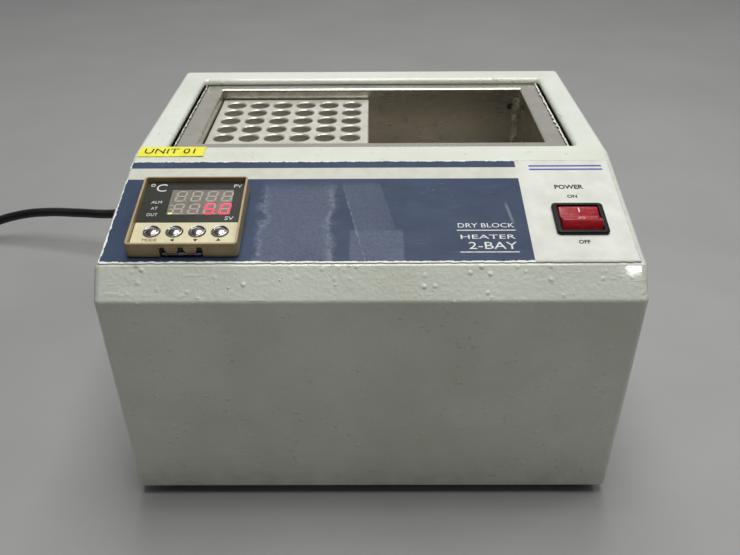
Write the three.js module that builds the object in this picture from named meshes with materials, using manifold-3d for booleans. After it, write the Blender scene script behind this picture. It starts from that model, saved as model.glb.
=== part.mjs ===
// A two-block dry heater for sample tubes. A folded steel cabinet with a sloping control panel holds
// a stainless well. A drilled aluminium block stands in the left half of the well.
// Units are millimetres. +Z is up, -Y is the front, and z = 0 is the surface that the feet stand on.
import * as THREE from 'three';
import { mergeVertices } from 'three/addons/utils/BufferGeometryUtils.js';
import Module from 'manifold-3d';

const wasm = await Module();
wasm.setup();

// ---------------------------------------------------------------- driving dimensions

const GAP = 0.3; // clearance between pieces that touch
const SHEET = 1.5; // cabinet sheet steel

const WIDTH = 236;
const DEPTH = 226.5; // from the front lip to the rear panel
const TOP_Z = 155.8;
const FOOT_HEIGHT = 5.1;
const REAR_PROUD = 11; // how far the fuse cap stands out behind the rear panel

const SLOPE = 13; // panel, degrees below level
const SLOPE_LENGTH = 83.4;
const LIP_ANGLE = 54;
const LIP_LENGTH = 15.7;
const FRONT_LEAN = 6.8; // the front falls back under the lip by this many degrees

// Distances front and back are from FRONT_Y, and drop is from the cabinet's top.
const OPENING = { x: 103, front: 98.8, back: 208.5, corner: 3, collar: 3 };
const WELL = { x: 90.2, front: 111.7, back: 200.1, floor: 96.5, sheet: 0.8 };
const WELL_FLANGE = { x: 100.8, front: 101, back: 209.7, drop: 3, hem: 5 };
const BLOCK = { left: -89.6, width: 88, front: 112.2, depth: 85.2, height: 50 };
const HOLES = { columns: 6, rows: 5, pitchX: 13.8, pitchY: 13.45, radius: 5.5, depth: 36, tip: 3 };
const HOLES_AT = { x: -80.55, y: 133.5 }; // centre of the front left hole, y from FRONT_Y

const CONTROLLER = { x: -80.4, down: 55, size: 48, proud: 8.3, depth: 62 };
const SWITCH = { x: 93.5, down: 54.6, width: 23.2, length: 21, proud: 2.4 };
const FILM = { left: -116, right: 114.8, top: 8.9, bottom: 82.1, low: 0.2, high: 0.6 };
const TAPE = { left: -115, right: -82.4, onTop: 6.3, onSlope: 4, low: 0.2, high: 0.5 };

const CORD_RADIUS = 3.4;
const CORD_EXIT = { x: -75, z: 48 };
const COIL = { x: -325, y: 100, mean: 40, halfWidth: 12.2, height: 13.9, enters: 135, leaves: 207 };

// ---------------------------------------------------------------- derived places

const rad = THREE.MathUtils.degToRad;
const FRONT_Y = -(DEPTH + REAR_PROUD) / 2;
const BACK_Y = FRONT_Y + DEPTH;
const BODY_Z = FOOT_HEIGHT + GAP; // underside of the cabinet
const HALF = WIDTH / 2;
const LIP_TOP = {
  y: FRONT_Y + LIP_LENGTH * Math.cos(rad(LIP_ANGLE)),
  z: TOP_Z - SLOPE_LENGTH * Math.sin(rad(SLOPE)),
};
const LIP_BOTTOM_Z = LIP_TOP.z - LIP_LENGTH * Math.sin(rad(LIP_ANGLE));
const BEND_Y = LIP_TOP.y + SLOPE_LENGTH * Math.cos(rad(SLOPE));
const TOE_Y = FRONT_Y + (LIP_BOTTOM_Z - BODY_Z) * Math.tan(rad(FRONT_LEAN));
const INNER_X = HALF - SHEET;
const FLANGE_Z = BODY_Z + SHEET + GAP; // underside of the cabinet's bottom flange
const FLANGE_BACK = BACK_Y - SHEET - GAP; // back face of the cabinet's rear flange
const fromFront = (distance) => FRONT_Y + distance;

// ---------------------------------------------------------------- solids

function clean(geometry) {
  const bare = geometry.clone();
  bare.deleteAttribute('normal');
  bare.deleteAttribute('uv');
  const merged = mergeVertices(bare);
  const index = merged.index.array;
  const kept = [];
  for (let i = 0; i < index.length; i += 3) {
    const [a, b, c] = [index[i], index[i + 1], index[i + 2]];
    if (a !== b && b !== c && c !== a) kept.push(a, b, c);
  }
  merged.setIndex(kept);
  return merged;
}

function toSolid(geometry) {
  const closed = clean(geometry);
  return new wasm.Manifold(new wasm.Mesh({
    numProp: 3,
    vertProperties: new Float32Array(closed.attributes.position.array),
    triVerts: new Uint32Array(closed.index.array),
  }));
}

function toGeometry(solid) {
  const { vertProperties, triVerts } = solid.getMesh();
  const geometry = new THREE.BufferGeometry();
  geometry.setAttribute('position', new THREE.BufferAttribute(vertProperties, 3));
  geometry.setIndex(new THREE.BufferAttribute(triVerts, 1));
  geometry.computeVertexNormals();
  return geometry;
}

const join = (...parts) => toGeometry(parts.map(toSolid).reduce((whole, part) => whole.add(part)));
const cut = (base, ...tools) => toGeometry(
  tools.map(toSolid).reduce((left, tool) => left.subtract(tool), toSolid(base)),
);
const common = (a, b) => toGeometry(toSolid(a).intersect(toSolid(b)));

function box(x0, x1, y0, y1, z0, z1) {
  const geometry = new THREE.BoxGeometry(x1 - x0, y1 - y0, z1 - z0);
  return geometry.translate((x0 + x1) / 2, (y0 + y1) / 2, (z0 + z1) / 2);
}

// A cylinder along Z, from z0 to z1.
function post(radius, z0, z1, { x = 0, y = 0, sides = 16, tip = radius } = {}) {
  const geometry = new THREE.CylinderGeometry(tip, radius, z1 - z0, sides);
  return geometry.rotateX(Math.PI / 2).translate(x, y, (z0 + z1) / 2);
}

// A cylinder along Y, from y0 to y1.
function bar(radius, y0, y1, { x = 0, z = 0, sides = 16, tip = radius } = {}) {
  const geometry = new THREE.CylinderGeometry(tip, radius, y1 - y0, sides);
  return geometry.translate(x, (y0 + y1) / 2, z);
}

// A turned piece about Z, from [radius, z] points that start and end on the axis.
function turned(points, sides = 20) {
  const profile = points.map(([radius, z]) => new THREE.Vector2(radius, z));
  return new THREE.LatheGeometry(profile, sides).rotateX(Math.PI / 2);
}

function outline(points) {
  return new THREE.Shape(points.map(([u, v]) => new THREE.Vector2(u, v)));
}

function roundedRectangle(u0, u1, v0, v1, radius) {
  const shape = new THREE.Shape();
  shape.moveTo(u0 + radius, v0);
  shape.lineTo(u1 - radius, v0);
  shape.absarc(u1 - radius, v0 + radius, radius, -Math.PI / 2, 0);
  shape.lineTo(u1, v1 - radius);
  shape.absarc(u1 - radius, v1 - radius, radius, 0, Math.PI / 2);
  shape.lineTo(u0 + radius, v1);
  shape.absarc(u0 + radius, v1 - radius, radius, Math.PI / 2, Math.PI);
  shape.lineTo(u0, v0 + radius);
  shape.absarc(u0 + radius, v0 + radius, radius, Math.PI, Math.PI * 1.5);
  return shape;
}

function extrude(shape, depth, curveSegments = 4) {
  return new THREE.ExtrudeGeometry(shape, { depth, bevelEnabled: false, curveSegments });
}

// A plate with an outline in X and Y, from z0 to z1.
const plate = (shape, z0, z1) => extrude(shape, z1 - z0).translate(0, 0, z0);

// A prism with an outline in Y and Z, from x0 to x1.
function prismX(points, x0, x1) {
  const basis = new THREE.Matrix4().makeBasis(
    new THREE.Vector3(0, 1, 0),
    new THREE.Vector3(0, 0, 1),
    new THREE.Vector3(1, 0, 0),
  );
  return extrude(outline(points), x1 - x0).applyMatrix4(basis).translate(x0, 0, 0);
}

// A prism with an outline in X and Z, from y0 to y1.
const prismY = (shape, y0, y1) => extrude(shape, y1 - y0).rotateX(Math.PI / 2).translate(0, y1, 0);

// A round section swept along a smooth curve through the points.
function sweep(points, radius, { sides = 8, stepLength = radius * 5 } = {}) {
  const curve = new THREE.CatmullRomCurve3(points.map((point) => new THREE.Vector3(...point)));
  const corners = Array.from({ length: sides }, (_, i) => {
    const angle = (2 * Math.PI * i) / sides;
    return [radius * Math.cos(angle), radius * Math.sin(angle)];
  });
  const steps = Math.max(4, Math.round(curve.getLength() / stepLength));
  return new THREE.ExtrudeGeometry(outline(corners), { steps, bevelEnabled: false, extrudePath: curve });
}

// ---------------------------------------------------------------- materials

function surface(color, roughness, metalness = 0) {
  return new THREE.MeshStandardMaterial({ color, roughness, metalness });
}

const FINISH = {
  powderCoat: surface(0xdfe3d8, 0.5),
  stainless: surface(0xa9a69f, 0.32, 1),
  aluminium: surface(0xd2cfc4, 0.36, 0.9),
  zinc: surface(0xb9bab8, 0.35, 1),
  rubber: surface(0x1d1d1d, 0.85),
  insulation: surface(0xd9d6cb, 0.95),
  heaterSilicone: surface(0xa8442c, 0.7),
  film: surface(0x4d5679, 0.5),
  tape: surface(0xc9ad3a, 0.6),
  bezel: surface(0xb29c68, 0.5),
  keypad: surface(0xd9cdb4, 0.55),
  window: surface(0x15120f, 0.15),
  board: surface(0x2a2622, 0.6),
  key: surface(0xc4c4c2, 0.2, 0.8),
  blackPlastic: surface(0x161616, 0.45),
  rocker: surface(0xa3231b, 0.25),
  brass: surface(0xb99a52, 0.35, 1),
  ceramic: surface(0xcfcabb, 0.5),
  cord: surface(0x101010, 0.6),
  wire: surface(0x8d2f26, 0.6),
  earthWire: surface(0x5b8f3a, 0.6),
};

const root = new THREE.Group();

function add(name, geometry, material, group = root) {
  const mesh = new THREE.Mesh(geometry, material);
  mesh.name = name;
  group.add(mesh);
  return mesh;
}

// ---------------------------------------------------------------- cabinet

const CABINET_FLANGE = { bottom: 20, rear: 14 };
const FEET = { x: 104.5, fromToe: 16, fromBack: 22 };
const footPlaces = [
  ['front_left', -FEET.x, TOE_Y + FEET.fromToe],
  ['front_right', FEET.x, TOE_Y + FEET.fromToe],
  ['rear_left', -FEET.x, BACK_Y - FEET.fromBack],
  ['rear_right', FEET.x, BACK_Y - FEET.fromBack],
];
const SCREW_RADIUS = 2;
const SCREW_HOLE = 2.4;
const REAR_SCREW = { x: 109.5, low: 22, high: 142, radius: 1.75, hole: 2.1, head: 3.4, headHeight: 2, length: 10 };
const rearScrewPlaces = [
  ['lower_left', -REAR_SCREW.x, REAR_SCREW.low],
  ['lower_right', REAR_SCREW.x, REAR_SCREW.low],
  ['upper_left', -REAR_SCREW.x, REAR_SCREW.high],
  ['upper_right', REAR_SCREW.x, REAR_SCREW.high],
];

// The side view of the cabinet, moved inwards by a sheet thickness where inset is not zero.
// The inner outline runs out through the open bottom and back.
function sideOutline(inset) {
  const lean = Math.tan(rad(FRONT_LEAN));
  const across = (angle) => inset * Math.tan(rad(angle) / 2);
  const bottom = inset > 0 ? BODY_Z - SHEET : BODY_Z;
  const back = inset > 0 ? BACK_Y + SHEET : BACK_Y;
  const frontAt = (z) => FRONT_Y + inset / Math.cos(rad(FRONT_LEAN)) + (LIP_BOTTOM_Z - z) * lean;
  const slope = { y: Math.cos(rad(SLOPE)), z: Math.sin(rad(SLOPE)) };
  const panelStart = [BEND_Y - across(SLOPE), TOP_Z - inset];
  const lipBend = across(LIP_ANGLE - SLOPE);
  const panelEnd = [
    LIP_TOP.y + inset * slope.z + lipBend * slope.y,
    LIP_TOP.z - inset * slope.y + lipBend * slope.z,
  ];
  const underLip = 90 + FRONT_LEAN - LIP_ANGLE;
  const lip = { y: Math.cos(rad(LIP_ANGLE)), z: Math.sin(rad(LIP_ANGLE)) };
  const lipEnd = [
    FRONT_Y + inset * lip.z + across(underLip) * lip.y,
    LIP_BOTTOM_Z - inset * lip.y + across(underLip) * lip.z,
  ];
  return [
    [frontAt(bottom), bottom],
    [back, bottom],
    [back, TOP_Z - inset],
    panelStart,
    panelEnd,
    lipEnd,
  ];
}

function frameRing(shape, hole, z0, z1) {
  shape.holes.push(hole);
  return plate(shape, z0, z1);
}

function bottomFlange() {
  const front = TOE_Y + SHEET / 2;
  const outer = roundedRectangle(-HALF + 0.5, HALF - 0.5, front, FLANGE_BACK, 1);
  const width = CABINET_FLANGE.bottom;
  const inner = roundedRectangle(-INNER_X + width, INNER_X - width, front + width, FLANGE_BACK - width, 2);
  return frameRing(outer, inner, FLANGE_Z, FLANGE_Z + SHEET);
}

function rearFlange() {
  const top = TOP_Z - SHEET / 2;
  const outer = roundedRectangle(-HALF + 0.5, HALF - 0.5, FLANGE_Z, top, 1);
  const width = CABINET_FLANGE.rear;
  outer.holes.push(roundedRectangle(-INNER_X + width, INNER_X - width, FLANGE_Z + width, top - width, 2));
  return prismY(outer, FLANGE_BACK - SHEET, FLANGE_BACK);
}

// The rim of the top opening is turned down to make a short collar.
function openingShape(grow) {
  const { x, front, back, corner } = OPENING;
  const [y0, y1] = [fromFront(front) - grow, fromFront(back) + grow];
  return roundedRectangle(-x - grow, x + grow, y0, y1, corner + grow);
}

// Panel pieces are made on a flat XY plane, with Y up the slope and Z out of the panel, then tilted with it.
const onPanel = (geometry) => geometry.rotateX(rad(SLOPE)).translate(0, BEND_Y, TOP_Z);
const square = (centre, width, length, radius) => roundedRectangle(
  centre.x - width / 2,
  centre.x + width / 2,
  -centre.down - length / 2,
  -centre.down + length / 2,
  radius,
);
const CUTOUT = { controller: 45.6, switchWidth: 22, switchLength: 19.2 };
const panelCutter = (shape, low, high) => onPanel(plate(shape, low, high));

function cabinet() {
  const frontView = roundedRectangle(-HALF, HALF, BODY_Z, TOP_Z, 3);
  const outer = common(prismX(sideOutline(0), -HALF, HALF), prismY(frontView, FRONT_Y - 1, BACK_Y + 1));
  const walls = cut(outer, prismX(sideOutline(SHEET), -INNER_X, INNER_X));
  const collar = plate(openingShape(SHEET), TOP_Z - OPENING.collar, TOP_Z - SHEET / 2);
  const shell = join(walls, collar, bottomFlange(), rearFlange());
  return cut(
    shell,
    plate(openingShape(0), TOP_Z - 20, TOP_Z + 1),
    panelCutter(square(CONTROLLER, CUTOUT.controller, CUTOUT.controller, 1), -5, 5),
    panelCutter(square(SWITCH, CUTOUT.switchWidth, CUTOUT.switchLength, 1), -5, 5),
    ...footPlaces.map(([, x, y]) => post(SCREW_HOLE, 0, 20, { x, y, sides: 12 })),
    ...rearScrewPlaces.map(([, x, z]) => bar(REAR_SCREW.hole, BACK_Y - 8, BACK_Y, { x, z, sides: 12 })),
  );
}

add('cabinet', cabinet(), FINISH.powderCoat);

// Evenly spaced places along X, centred on the middle.
function slotCentres(count, pitch, middle) {
  return Array.from({ length: count }, (_, i) => middle + (i - (count - 1) / 2) * pitch);
}

const FUSE = { x: -35, z: 48, hole: 6.4 };
const EARTH = { x: 0, z: 30 };
const RELIEF_HOLE = 6.8;
const REAR_VENTS = { count: 9, pitch: 9, middle: 55, low: 92, high: 128, width: 3 };

function rearPanel() {
  const edge = INNER_X - GAP;
  const sheet = prismY(roundedRectangle(-edge, edge, BODY_Z, TOP_Z - SHEET - GAP, 1), BACK_Y - SHEET, BACK_Y);
  const [y0, y1] = [BACK_Y - 5, BACK_Y + 5];
  const { count, pitch, middle, low, high, width } = REAR_VENTS;
  return cut(
    sheet,
    ...rearScrewPlaces.map(([, x, z]) => bar(REAR_SCREW.hole, y0, y1, { x, z, sides: 12 })),
    ...slotCentres(count, pitch, middle).map((x) => box(x - width / 2, x + width / 2, y0, y1, low, high)),
    bar(RELIEF_HOLE, y0, y1, { x: CORD_EXIT.x, z: CORD_EXIT.z }),
    bar(FUSE.hole, y0, y1, { x: FUSE.x, z: FUSE.z }),
    bar(SCREW_HOLE, y0, y1, { x: EARTH.x, z: EARTH.z, sides: 12 }),
  );
}

add('rear_panel', rearPanel(), FINISH.powderCoat);

const BASE_VENTS = { count: 10, pitch: 9, middle: 0, halfLength: 30, y: 0, width: 3 };

function basePlate() {
  const edge = INNER_X - GAP;
  const front = TOE_Y + SHEET / Math.cos(rad(FRONT_LEAN)) + GAP;
  const sheet = plate(roundedRectangle(-edge, edge, front, BACK_Y - SHEET - GAP, 2), BODY_Z, BODY_Z + SHEET);
  const { count, pitch, middle, halfLength, y, width } = BASE_VENTS;
  return cut(
    sheet,
    ...footPlaces.map(([, x, footY]) => post(SCREW_HOLE, 0, 20, { x, y: footY, sides: 12 })),
    ...slotCentres(count, pitch, middle).map((x) => (
      box(x - width / 2, x + width / 2, y - halfLength, y + halfLength, 0, 20)
    )),
  );
}

add('base_plate', basePlate(), FINISH.powderCoat);

const FOOT = { top: 9, bottom: 7.6, recess: 4.6, recessDepth: 2.6 };

function foot(x, y) {
  const pad = post(FOOT.bottom, 0, FOOT_HEIGHT, { x, y, sides: 20, tip: FOOT.top });
  const hole = post(SCREW_HOLE, -1, 9, { x, y, sides: 12 });
  return cut(pad, hole, post(FOOT.recess, -1, FOOT.recessDepth, { x, y }));
}

// A pan-headed screw with its head at z = 0 and its shank going up to the given length.
function screw(headRadius, headHeight, radius, length, sides = 12) {
  return turned([
    [0, 0],
    [headRadius * 0.7, 0],
    [headRadius, headHeight * 0.5],
    [headRadius, headHeight],
    [radius, headHeight],
    [radius, length],
    [0, length],
  ], sides);
}

const FOOT_SCREW = { head: 3.9, headHeight: 1.9, length: 12, lift: 0.4 };
for (const [place, x, y] of footPlaces) {
  const { head, headHeight, length, lift } = FOOT_SCREW;
  add(`foot_${place}`, foot(x, y), FINISH.rubber);
  const footScrew = screw(head, headHeight, SCREW_RADIUS, length).translate(x, y, lift);
  add(`foot_screw_${place}`, footScrew, FINISH.zinc);
}

for (const [place, x, z] of rearScrewPlaces) {
  const { head, headHeight, radius, length } = REAR_SCREW;
  const geometry = screw(head, headHeight, radius, length).rotateX(Math.PI / 2);
  add(`rear_screw_${place}`, geometry.translate(x, BACK_Y + GAP + headHeight, z), FINISH.zinc);
}

// ---------------------------------------------------------------- well, heater and block

const WELL_FRONT = fromFront(WELL.front);
const WELL_BACK = fromFront(WELL.back);
const FLANGE_TOP = TOP_Z - WELL_FLANGE.drop - GAP;
const WELL_UNDER = WELL.floor - WELL.sheet;
const STUD = { x: 60, y: (WELL_FRONT + WELL_BACK) / 2, radius: 2, length: 8.2, hole: 2.4 };
const WALL_HOLE = { radius: 2.2, x: 85.4, backZ: 141, sideY: 64.5, sideZ: 145 };
const studPlaces = [['left', -STUD.x], ['right', STUD.x]];

// Heights of the stack below the well, each layer a gap under the one above.
const HEATER_TOP = WELL_UNDER - GAP;
const HEATER_THICK = 2.2;
const CLAMP_TOP = HEATER_TOP - HEATER_THICK - GAP;
const CLAMP_THICK = 1.5;
const NUT_TOP = CLAMP_TOP - CLAMP_THICK - GAP;
const NUT_THICK = 2.8;
const PAD_TOP = WELL_UNDER - STUD.length - GAP;
const PAD_THICK = 13;
const SHELF_TOP = PAD_TOP - PAD_THICK - GAP;
const CUTOUT_DISC = { x: 0, y: STUD.y, radius: 8, height: 9 };
const PROBE = { x: 30, radius: 2, halfLength: 15, grooveFront: 22, grooveBack: 20, lift: 0.6 };
const WIRE_HOLE = { heater: 2.6, probe: 3.4 };
const HEATER_WIRE_AT = { x: -25, y: STUD.y + 18 };
const PROBE_WIRE_AT = { x: 30, y: STUD.y - PROBE.halfLength - 6 };

// A frame of flange, walls and floor, open at the top.
function wellTub() {
  const { x, sheet, floor } = WELL;
  const [f, b] = [WELL_FRONT, WELL_BACK];
  const [flangeFront, flangeBack] = [fromFront(WELL_FLANGE.front), fromFront(WELL_FLANGE.back)];
  const flange = plate(
    roundedRectangle(-WELL_FLANGE.x, WELL_FLANGE.x, flangeFront, flangeBack, 2),
    FLANGE_TOP - sheet,
    FLANGE_TOP,
  );
  const cornerNotch = 4;
  const hems = [-1, 1].map((side) => {
    const [a, c] = [side * WELL_FLANGE.x, side * (WELL_FLANGE.x - sheet)].sort((p, q) => p - q);
    const [hemLow, hemHigh] = [FLANGE_TOP - WELL_FLANGE.hem, FLANGE_TOP - sheet / 2];
    return box(a, c, flangeFront + cornerNotch, flangeBack - cornerNotch, hemLow, hemHigh);
  });
  const outline = roundedRectangle(-x - sheet, x + sheet, f - sheet, b + sheet, 2);
  const shell = plate(outline, floor - sheet, FLANGE_TOP);
  const hollow = plate(roundedRectangle(-x, x, f, b, 1.2), floor, FLANGE_TOP + 5);
  const studs = studPlaces.map(([, sx]) => (
    post(STUD.radius, WELL_UNDER - STUD.length, WELL_UNDER + sheet / 2, { x: sx, y: STUD.y, sides: 12 })
  ));
  const backHole = bar(WALL_HOLE.radius, b - 2, b + 3, { x: WALL_HOLE.x, z: WALL_HOLE.backZ, sides: 12 });
  const sideHole = bar(WALL_HOLE.radius, 0, 6, { sides: 12 }).rotateZ(-Math.PI / 2);
  sideHole.translate(x - 2, WALL_HOLE.sideY, WALL_HOLE.sideZ);
  return cut(join(flange, ...hems, shell, ...studs), hollow, backHole, sideHole);
}

add('well_tub', wellTub(), FINISH.stainless);

const JACKET = { thick: 9.2, top: FLANGE_TOP - WELL_FLANGE.hem - GAP };

function jacketShape(grow) {
  const { x, sheet } = WELL;
  const edge = sheet + GAP + grow;
  return roundedRectangle(-x - edge, x + edge, WELL_FRONT - edge, WELL_BACK + edge, 1 + grow / 3);
}

function insulationJacket() {
  const shape = jacketShape(JACKET.thick);
  shape.holes.push(jacketShape(0));
  return plate(shape, SHELF_TOP + GAP, JACKET.top);
}

add('insulation_jacket', insulationJacket(), FINISH.insulation);

function insulationPad() {
  const slab = plate(jacketShape(-GAP), PAD_TOP - PAD_THICK, PAD_TOP);
  const through = (at, radius) => post(radius, SHELF_TOP - 9, PAD_TOP + 5, { x: at.x, y: at.y, sides: 12 });
  const groove = bar(PROBE.radius + GAP, STUD.y - PROBE.grooveFront, STUD.y + PROBE.grooveBack, {
    x: PROBE.x,
    z: PAD_TOP + PROBE.lift,
    sides: 12,
  });
  return cut(
    slab,
    through(CUTOUT_DISC, CUTOUT_DISC.radius + 2),
    through(HEATER_WIRE_AT, WIRE_HOLE.heater),
    through(PROBE_WIRE_AT, WIRE_HOLE.probe),
    groove,
  );
}

add('insulation_pad', insulationPad(), FINISH.insulation);

const HEATER = { x: 86, fromWall: 3 };

function heaterLayer(top, thick, grow) {
  const { x, fromWall } = HEATER;
  const inset = fromWall - grow;
  const shape = roundedRectangle(-x - grow, x + grow, WELL_FRONT + inset, WELL_BACK - inset, 3);
  return cut(
    plate(shape, top - thick, top),
    ...studPlaces.map(([, sx]) => post(STUD.hole, top - thick - 1, top + 1, { x: sx, y: STUD.y, sides: 12 })),
  );
}

add('heater_pad', heaterLayer(HEATER_TOP, HEATER_THICK, 0), FINISH.heaterSilicone);

const CLAMP_GROW = 1.5; // beyond the heater pad
const clampPlate = cut(
  heaterLayer(CLAMP_TOP, CLAMP_THICK, CLAMP_GROW),
  post(WIRE_HOLE.heater, CLAMP_TOP - 5, CLAMP_TOP + 1, { ...HEATER_WIRE_AT, sides: 12 }),
);
add('heater_clamp_plate', clampPlate, FINISH.zinc);

for (const [place, x] of studPlaces) {
  const nut = post(4, NUT_TOP - NUT_THICK, NUT_TOP, { x, y: STUD.y, sides: 6 });
  const bore = post(STUD.hole, NUT_TOP - 9, NUT_TOP + 9, { x, y: STUD.y, sides: 12 });
  add(`clamp_nut_${place}`, cut(nut, bore), FINISH.zinc);
}

function thermalCutout() {
  const { x, y, radius, height } = CUTOUT_DISC;
  const disc = post(radius, NUT_TOP - height, NUT_TOP, { x, y, sides: 20 });
  const tabs = [-4, 4].map((offset) => (
    box(x + offset - 0.4, x + offset + 0.4, y - 3, y + 3, NUT_TOP - height - 5, NUT_TOP - height + 1)
  ));
  return join(disc, ...tabs);
}

add('thermal_cutout', thermalCutout(), FINISH.blackPlastic);

const probeZ = NUT_TOP - PROBE.radius;
const probeEnds = [STUD.y - PROBE.halfLength, STUD.y + PROBE.halfLength];
const probe = bar(PROBE.radius, ...probeEnds, { x: PROBE.x, z: probeZ, sides: 12 });
add('temperature_probe', probe, FINISH.stainless);

const SUPPORT = { legX: 94.5, thick: 1.5, foot: 11 };

// A sheet bridge that carries the well and its insulation over the electrics.
function wellSupport() {
  const { legX, thick, foot: toe } = SUPPORT;
  const bottom = FLANGE_Z;
  const reach = WELL.x + WELL.sheet + GAP + JACKET.thick;
  const [y0, y1] = [WELL_FRONT - 8, WELL_BACK + 4];
  const shelf = box(-reach, reach, y0, y1, SHELF_TOP - thick, SHELF_TOP);
  const leg = (side) => {
    const [a, b] = [side * legX, side * (legX - thick)].sort((p, q) => p - q);
    const [c, d] = [side * legX, side * (legX - toe)].sort((p, q) => p - q);
    return join(box(a, b, y0, y1, bottom, SHELF_TOP - thick / 2), box(c, d, y0, y1, bottom, bottom + thick));
  };
  const hole = (at, radius) => post(radius, SHELF_TOP - 5, SHELF_TOP + 5, { x: at.x, y: at.y, sides: 12 });
  const windows = [-1, 1].map((side) => (
    box(side * legX - 4, side * legX + 4, y0 + 16, y1 - 16, bottom + 14, SHELF_TOP - 14)
  ));
  return cut(
    join(shelf, leg(-1), leg(1)),
    hole(CUTOUT_DISC, CUTOUT_DISC.radius + 2),
    hole(HEATER_WIRE_AT, WIRE_HOLE.heater),
    hole(PROBE_WIRE_AT, WIRE_HOLE.probe),
    ...windows,
  );
}

add('well_support', wellSupport(), FINISH.zinc);

const BLOCK_FLOOR = WELL.floor + GAP;
const BLOCK_TOP = BLOCK_FLOOR + BLOCK.height;
const THERMOMETER = { x: -45.6, fromFront: 9, radius: 2.6, depth: 32 };
const LIFT_HOLE = { x: -27, fromFront: 9, radius: 2.1, depth: 10 };

// A drilled hole with a small chamfer at its mouth and a cone at its bottom.
function drill(radius, depth, tip, chamfer, sides) {
  const above = 0.5;
  return turned([
    [0, -depth - tip],
    [radius, -depth],
    [radius, -chamfer],
    [radius + chamfer + above, above],
    [0, above],
  ], sides);
}

function tubeBlock() {
  const { left, width, front, depth } = BLOCK;
  const body = plate(
    roundedRectangle(left, left + width, fromFront(front), fromFront(front + depth), 1),
    BLOCK_FLOOR,
    BLOCK_TOP,
  );
  const holes = [];
  for (let row = 0; row < HOLES.rows; row += 1) {
    for (let column = 0; column < HOLES.columns; column += 1) {
      const [x, y] = [HOLES_AT.x + column * HOLES.pitchX, fromFront(HOLES_AT.y) + row * HOLES.pitchY];
      holes.push(drill(HOLES.radius, HOLES.depth, HOLES.tip, 0.7, 12).translate(x, y, BLOCK_TOP));
    }
  }
  const small = [THERMOMETER, LIFT_HOLE].map(({ x, fromFront: inward, radius, depth: deep }) => (
    drill(radius, deep, 1, 0.4, 12).translate(x, fromFront(front + inward), BLOCK_TOP)
  ));
  return cut(body, ...holes, ...small);
}

add('tube_block', tubeBlock(), FINISH.aluminium);

// ---------------------------------------------------------------- control panel

const panel = new THREE.Group();
panel.position.set(0, BEND_Y, TOP_Z);
panel.rotation.x = rad(SLOPE);
root.add(panel);

function panelFilm() {
  const shape = roundedRectangle(FILM.left, FILM.right, -FILM.bottom, -FILM.top, 1);
  shape.holes.push(square(CONTROLLER, CUTOUT.controller, CUTOUT.controller, 1));
  shape.holes.push(square(SWITCH, CUTOUT.switchWidth, CUTOUT.switchLength, 1));
  return plate(shape, FILM.low, FILM.high);
}

add('panel_film', panelFilm(), FINISH.film, panel);

// The tape lies over the bend between the top and the panel.
function tape() {
  const slope = { y: Math.cos(rad(SLOPE)), z: Math.sin(rad(SLOPE)) };
  const along = (height) => {
    const miter = height * Math.tan(rad(SLOPE) / 2);
    return [
      [BEND_Y + TAPE.onTop, TOP_Z + height],
      [BEND_Y - miter, TOP_Z + height],
      [BEND_Y - TAPE.onSlope * slope.y - height * slope.z, TOP_Z - TAPE.onSlope * slope.z + height * slope.y],
    ];
  };
  return prismX([...along(TAPE.low), ...along(TAPE.high).reverse()], TAPE.left, TAPE.right);
}

add('label_tape', tape(), FINISH.tape);

// ---------------------------------------------------------------- temperature controller

const controller = new THREE.Group();
controller.position.set(CONTROLLER.x, -CONTROLLER.down, 0);
panel.add(controller);

const half = CONTROLLER.size / 2;
// The window lies above the split, the keypad below it.
const FACE = { low: 4.6, high: 5.8, half: 22.6, split: 6.7 };
const KEYS = { y: -13, pitch: 9.85, x: 0.4, radius: 3.6, collar: 4.3, proud: 1, travel: 0.5 };
const keyNames = ['mode', 'shift', 'down', 'up'];
const LATCH = { left: -9.5, right: 9, high: 6.3, depth: 1.7, strip: [1.2, 3], tabs: [-4.4, 3.6], tabHalf: 3 };
const LATCH_TAB = { low: 2.4, high: 5.6 };
const around = (size, radius) => roundedRectangle(-size, size, -size, size, radius);

function controllerBezel() {
  const body = plate(around(half, 1.2), 0.9, CONTROLLER.proud);
  const recess = plate(around(FACE.half + GAP, 0.8), FACE.low - GAP, CONTROLLER.proud + 1);
  const tunnel = plate(around(21, 1), 0, FACE.low + 1);
  const notch = box(LATCH.left, LATCH.right, -half - 1, -half + LATCH.depth, 0, LATCH.high);
  return cut(body, recess, tunnel, notch);
}

add('controller_bezel', controllerBezel(), FINISH.bezel, controller);

const windowPane = plate(
  roundedRectangle(-FACE.half, FACE.half, -FACE.split + GAP, FACE.half, 0.5),
  FACE.low,
  FACE.high,
);
add('controller_window', windowPane, FINISH.window, controller);

const keyX = (i) => KEYS.x + (i - (keyNames.length - 1) / 2) * KEYS.pitch;

function keypad() {
  const outline = roundedRectangle(-FACE.half, FACE.half, -FACE.half, -FACE.split, 0.5);
  const strip = plate(outline, FACE.low, FACE.high);
  return cut(strip, ...keyNames.map((_, i) => (
    post(KEYS.radius + GAP, FACE.low - 1, FACE.high + 1, { x: keyX(i), y: KEYS.y, sides: 20 })
  )));
}

add('controller_keypad', keypad(), FINISH.keypad, controller);

// Each key has a collar behind the keypad that keeps it in its hole.
keyNames.forEach((name, i) => {
  const back = FACE.low - GAP - 1;
  const key = turned([
    [0, back],
    [KEYS.collar, back],
    [KEYS.collar, FACE.low - GAP],
    [KEYS.radius, FACE.low - GAP],
    [KEYS.radius, FACE.high + KEYS.proud * 0.6],
    [KEYS.radius * 0.8, FACE.high + KEYS.proud],
    [0, FACE.high + KEYS.proud],
  ]);
  add(`key_${name}`, key.translate(keyX(i), KEYS.y, 0), FINISH.key, controller);
});

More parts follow.
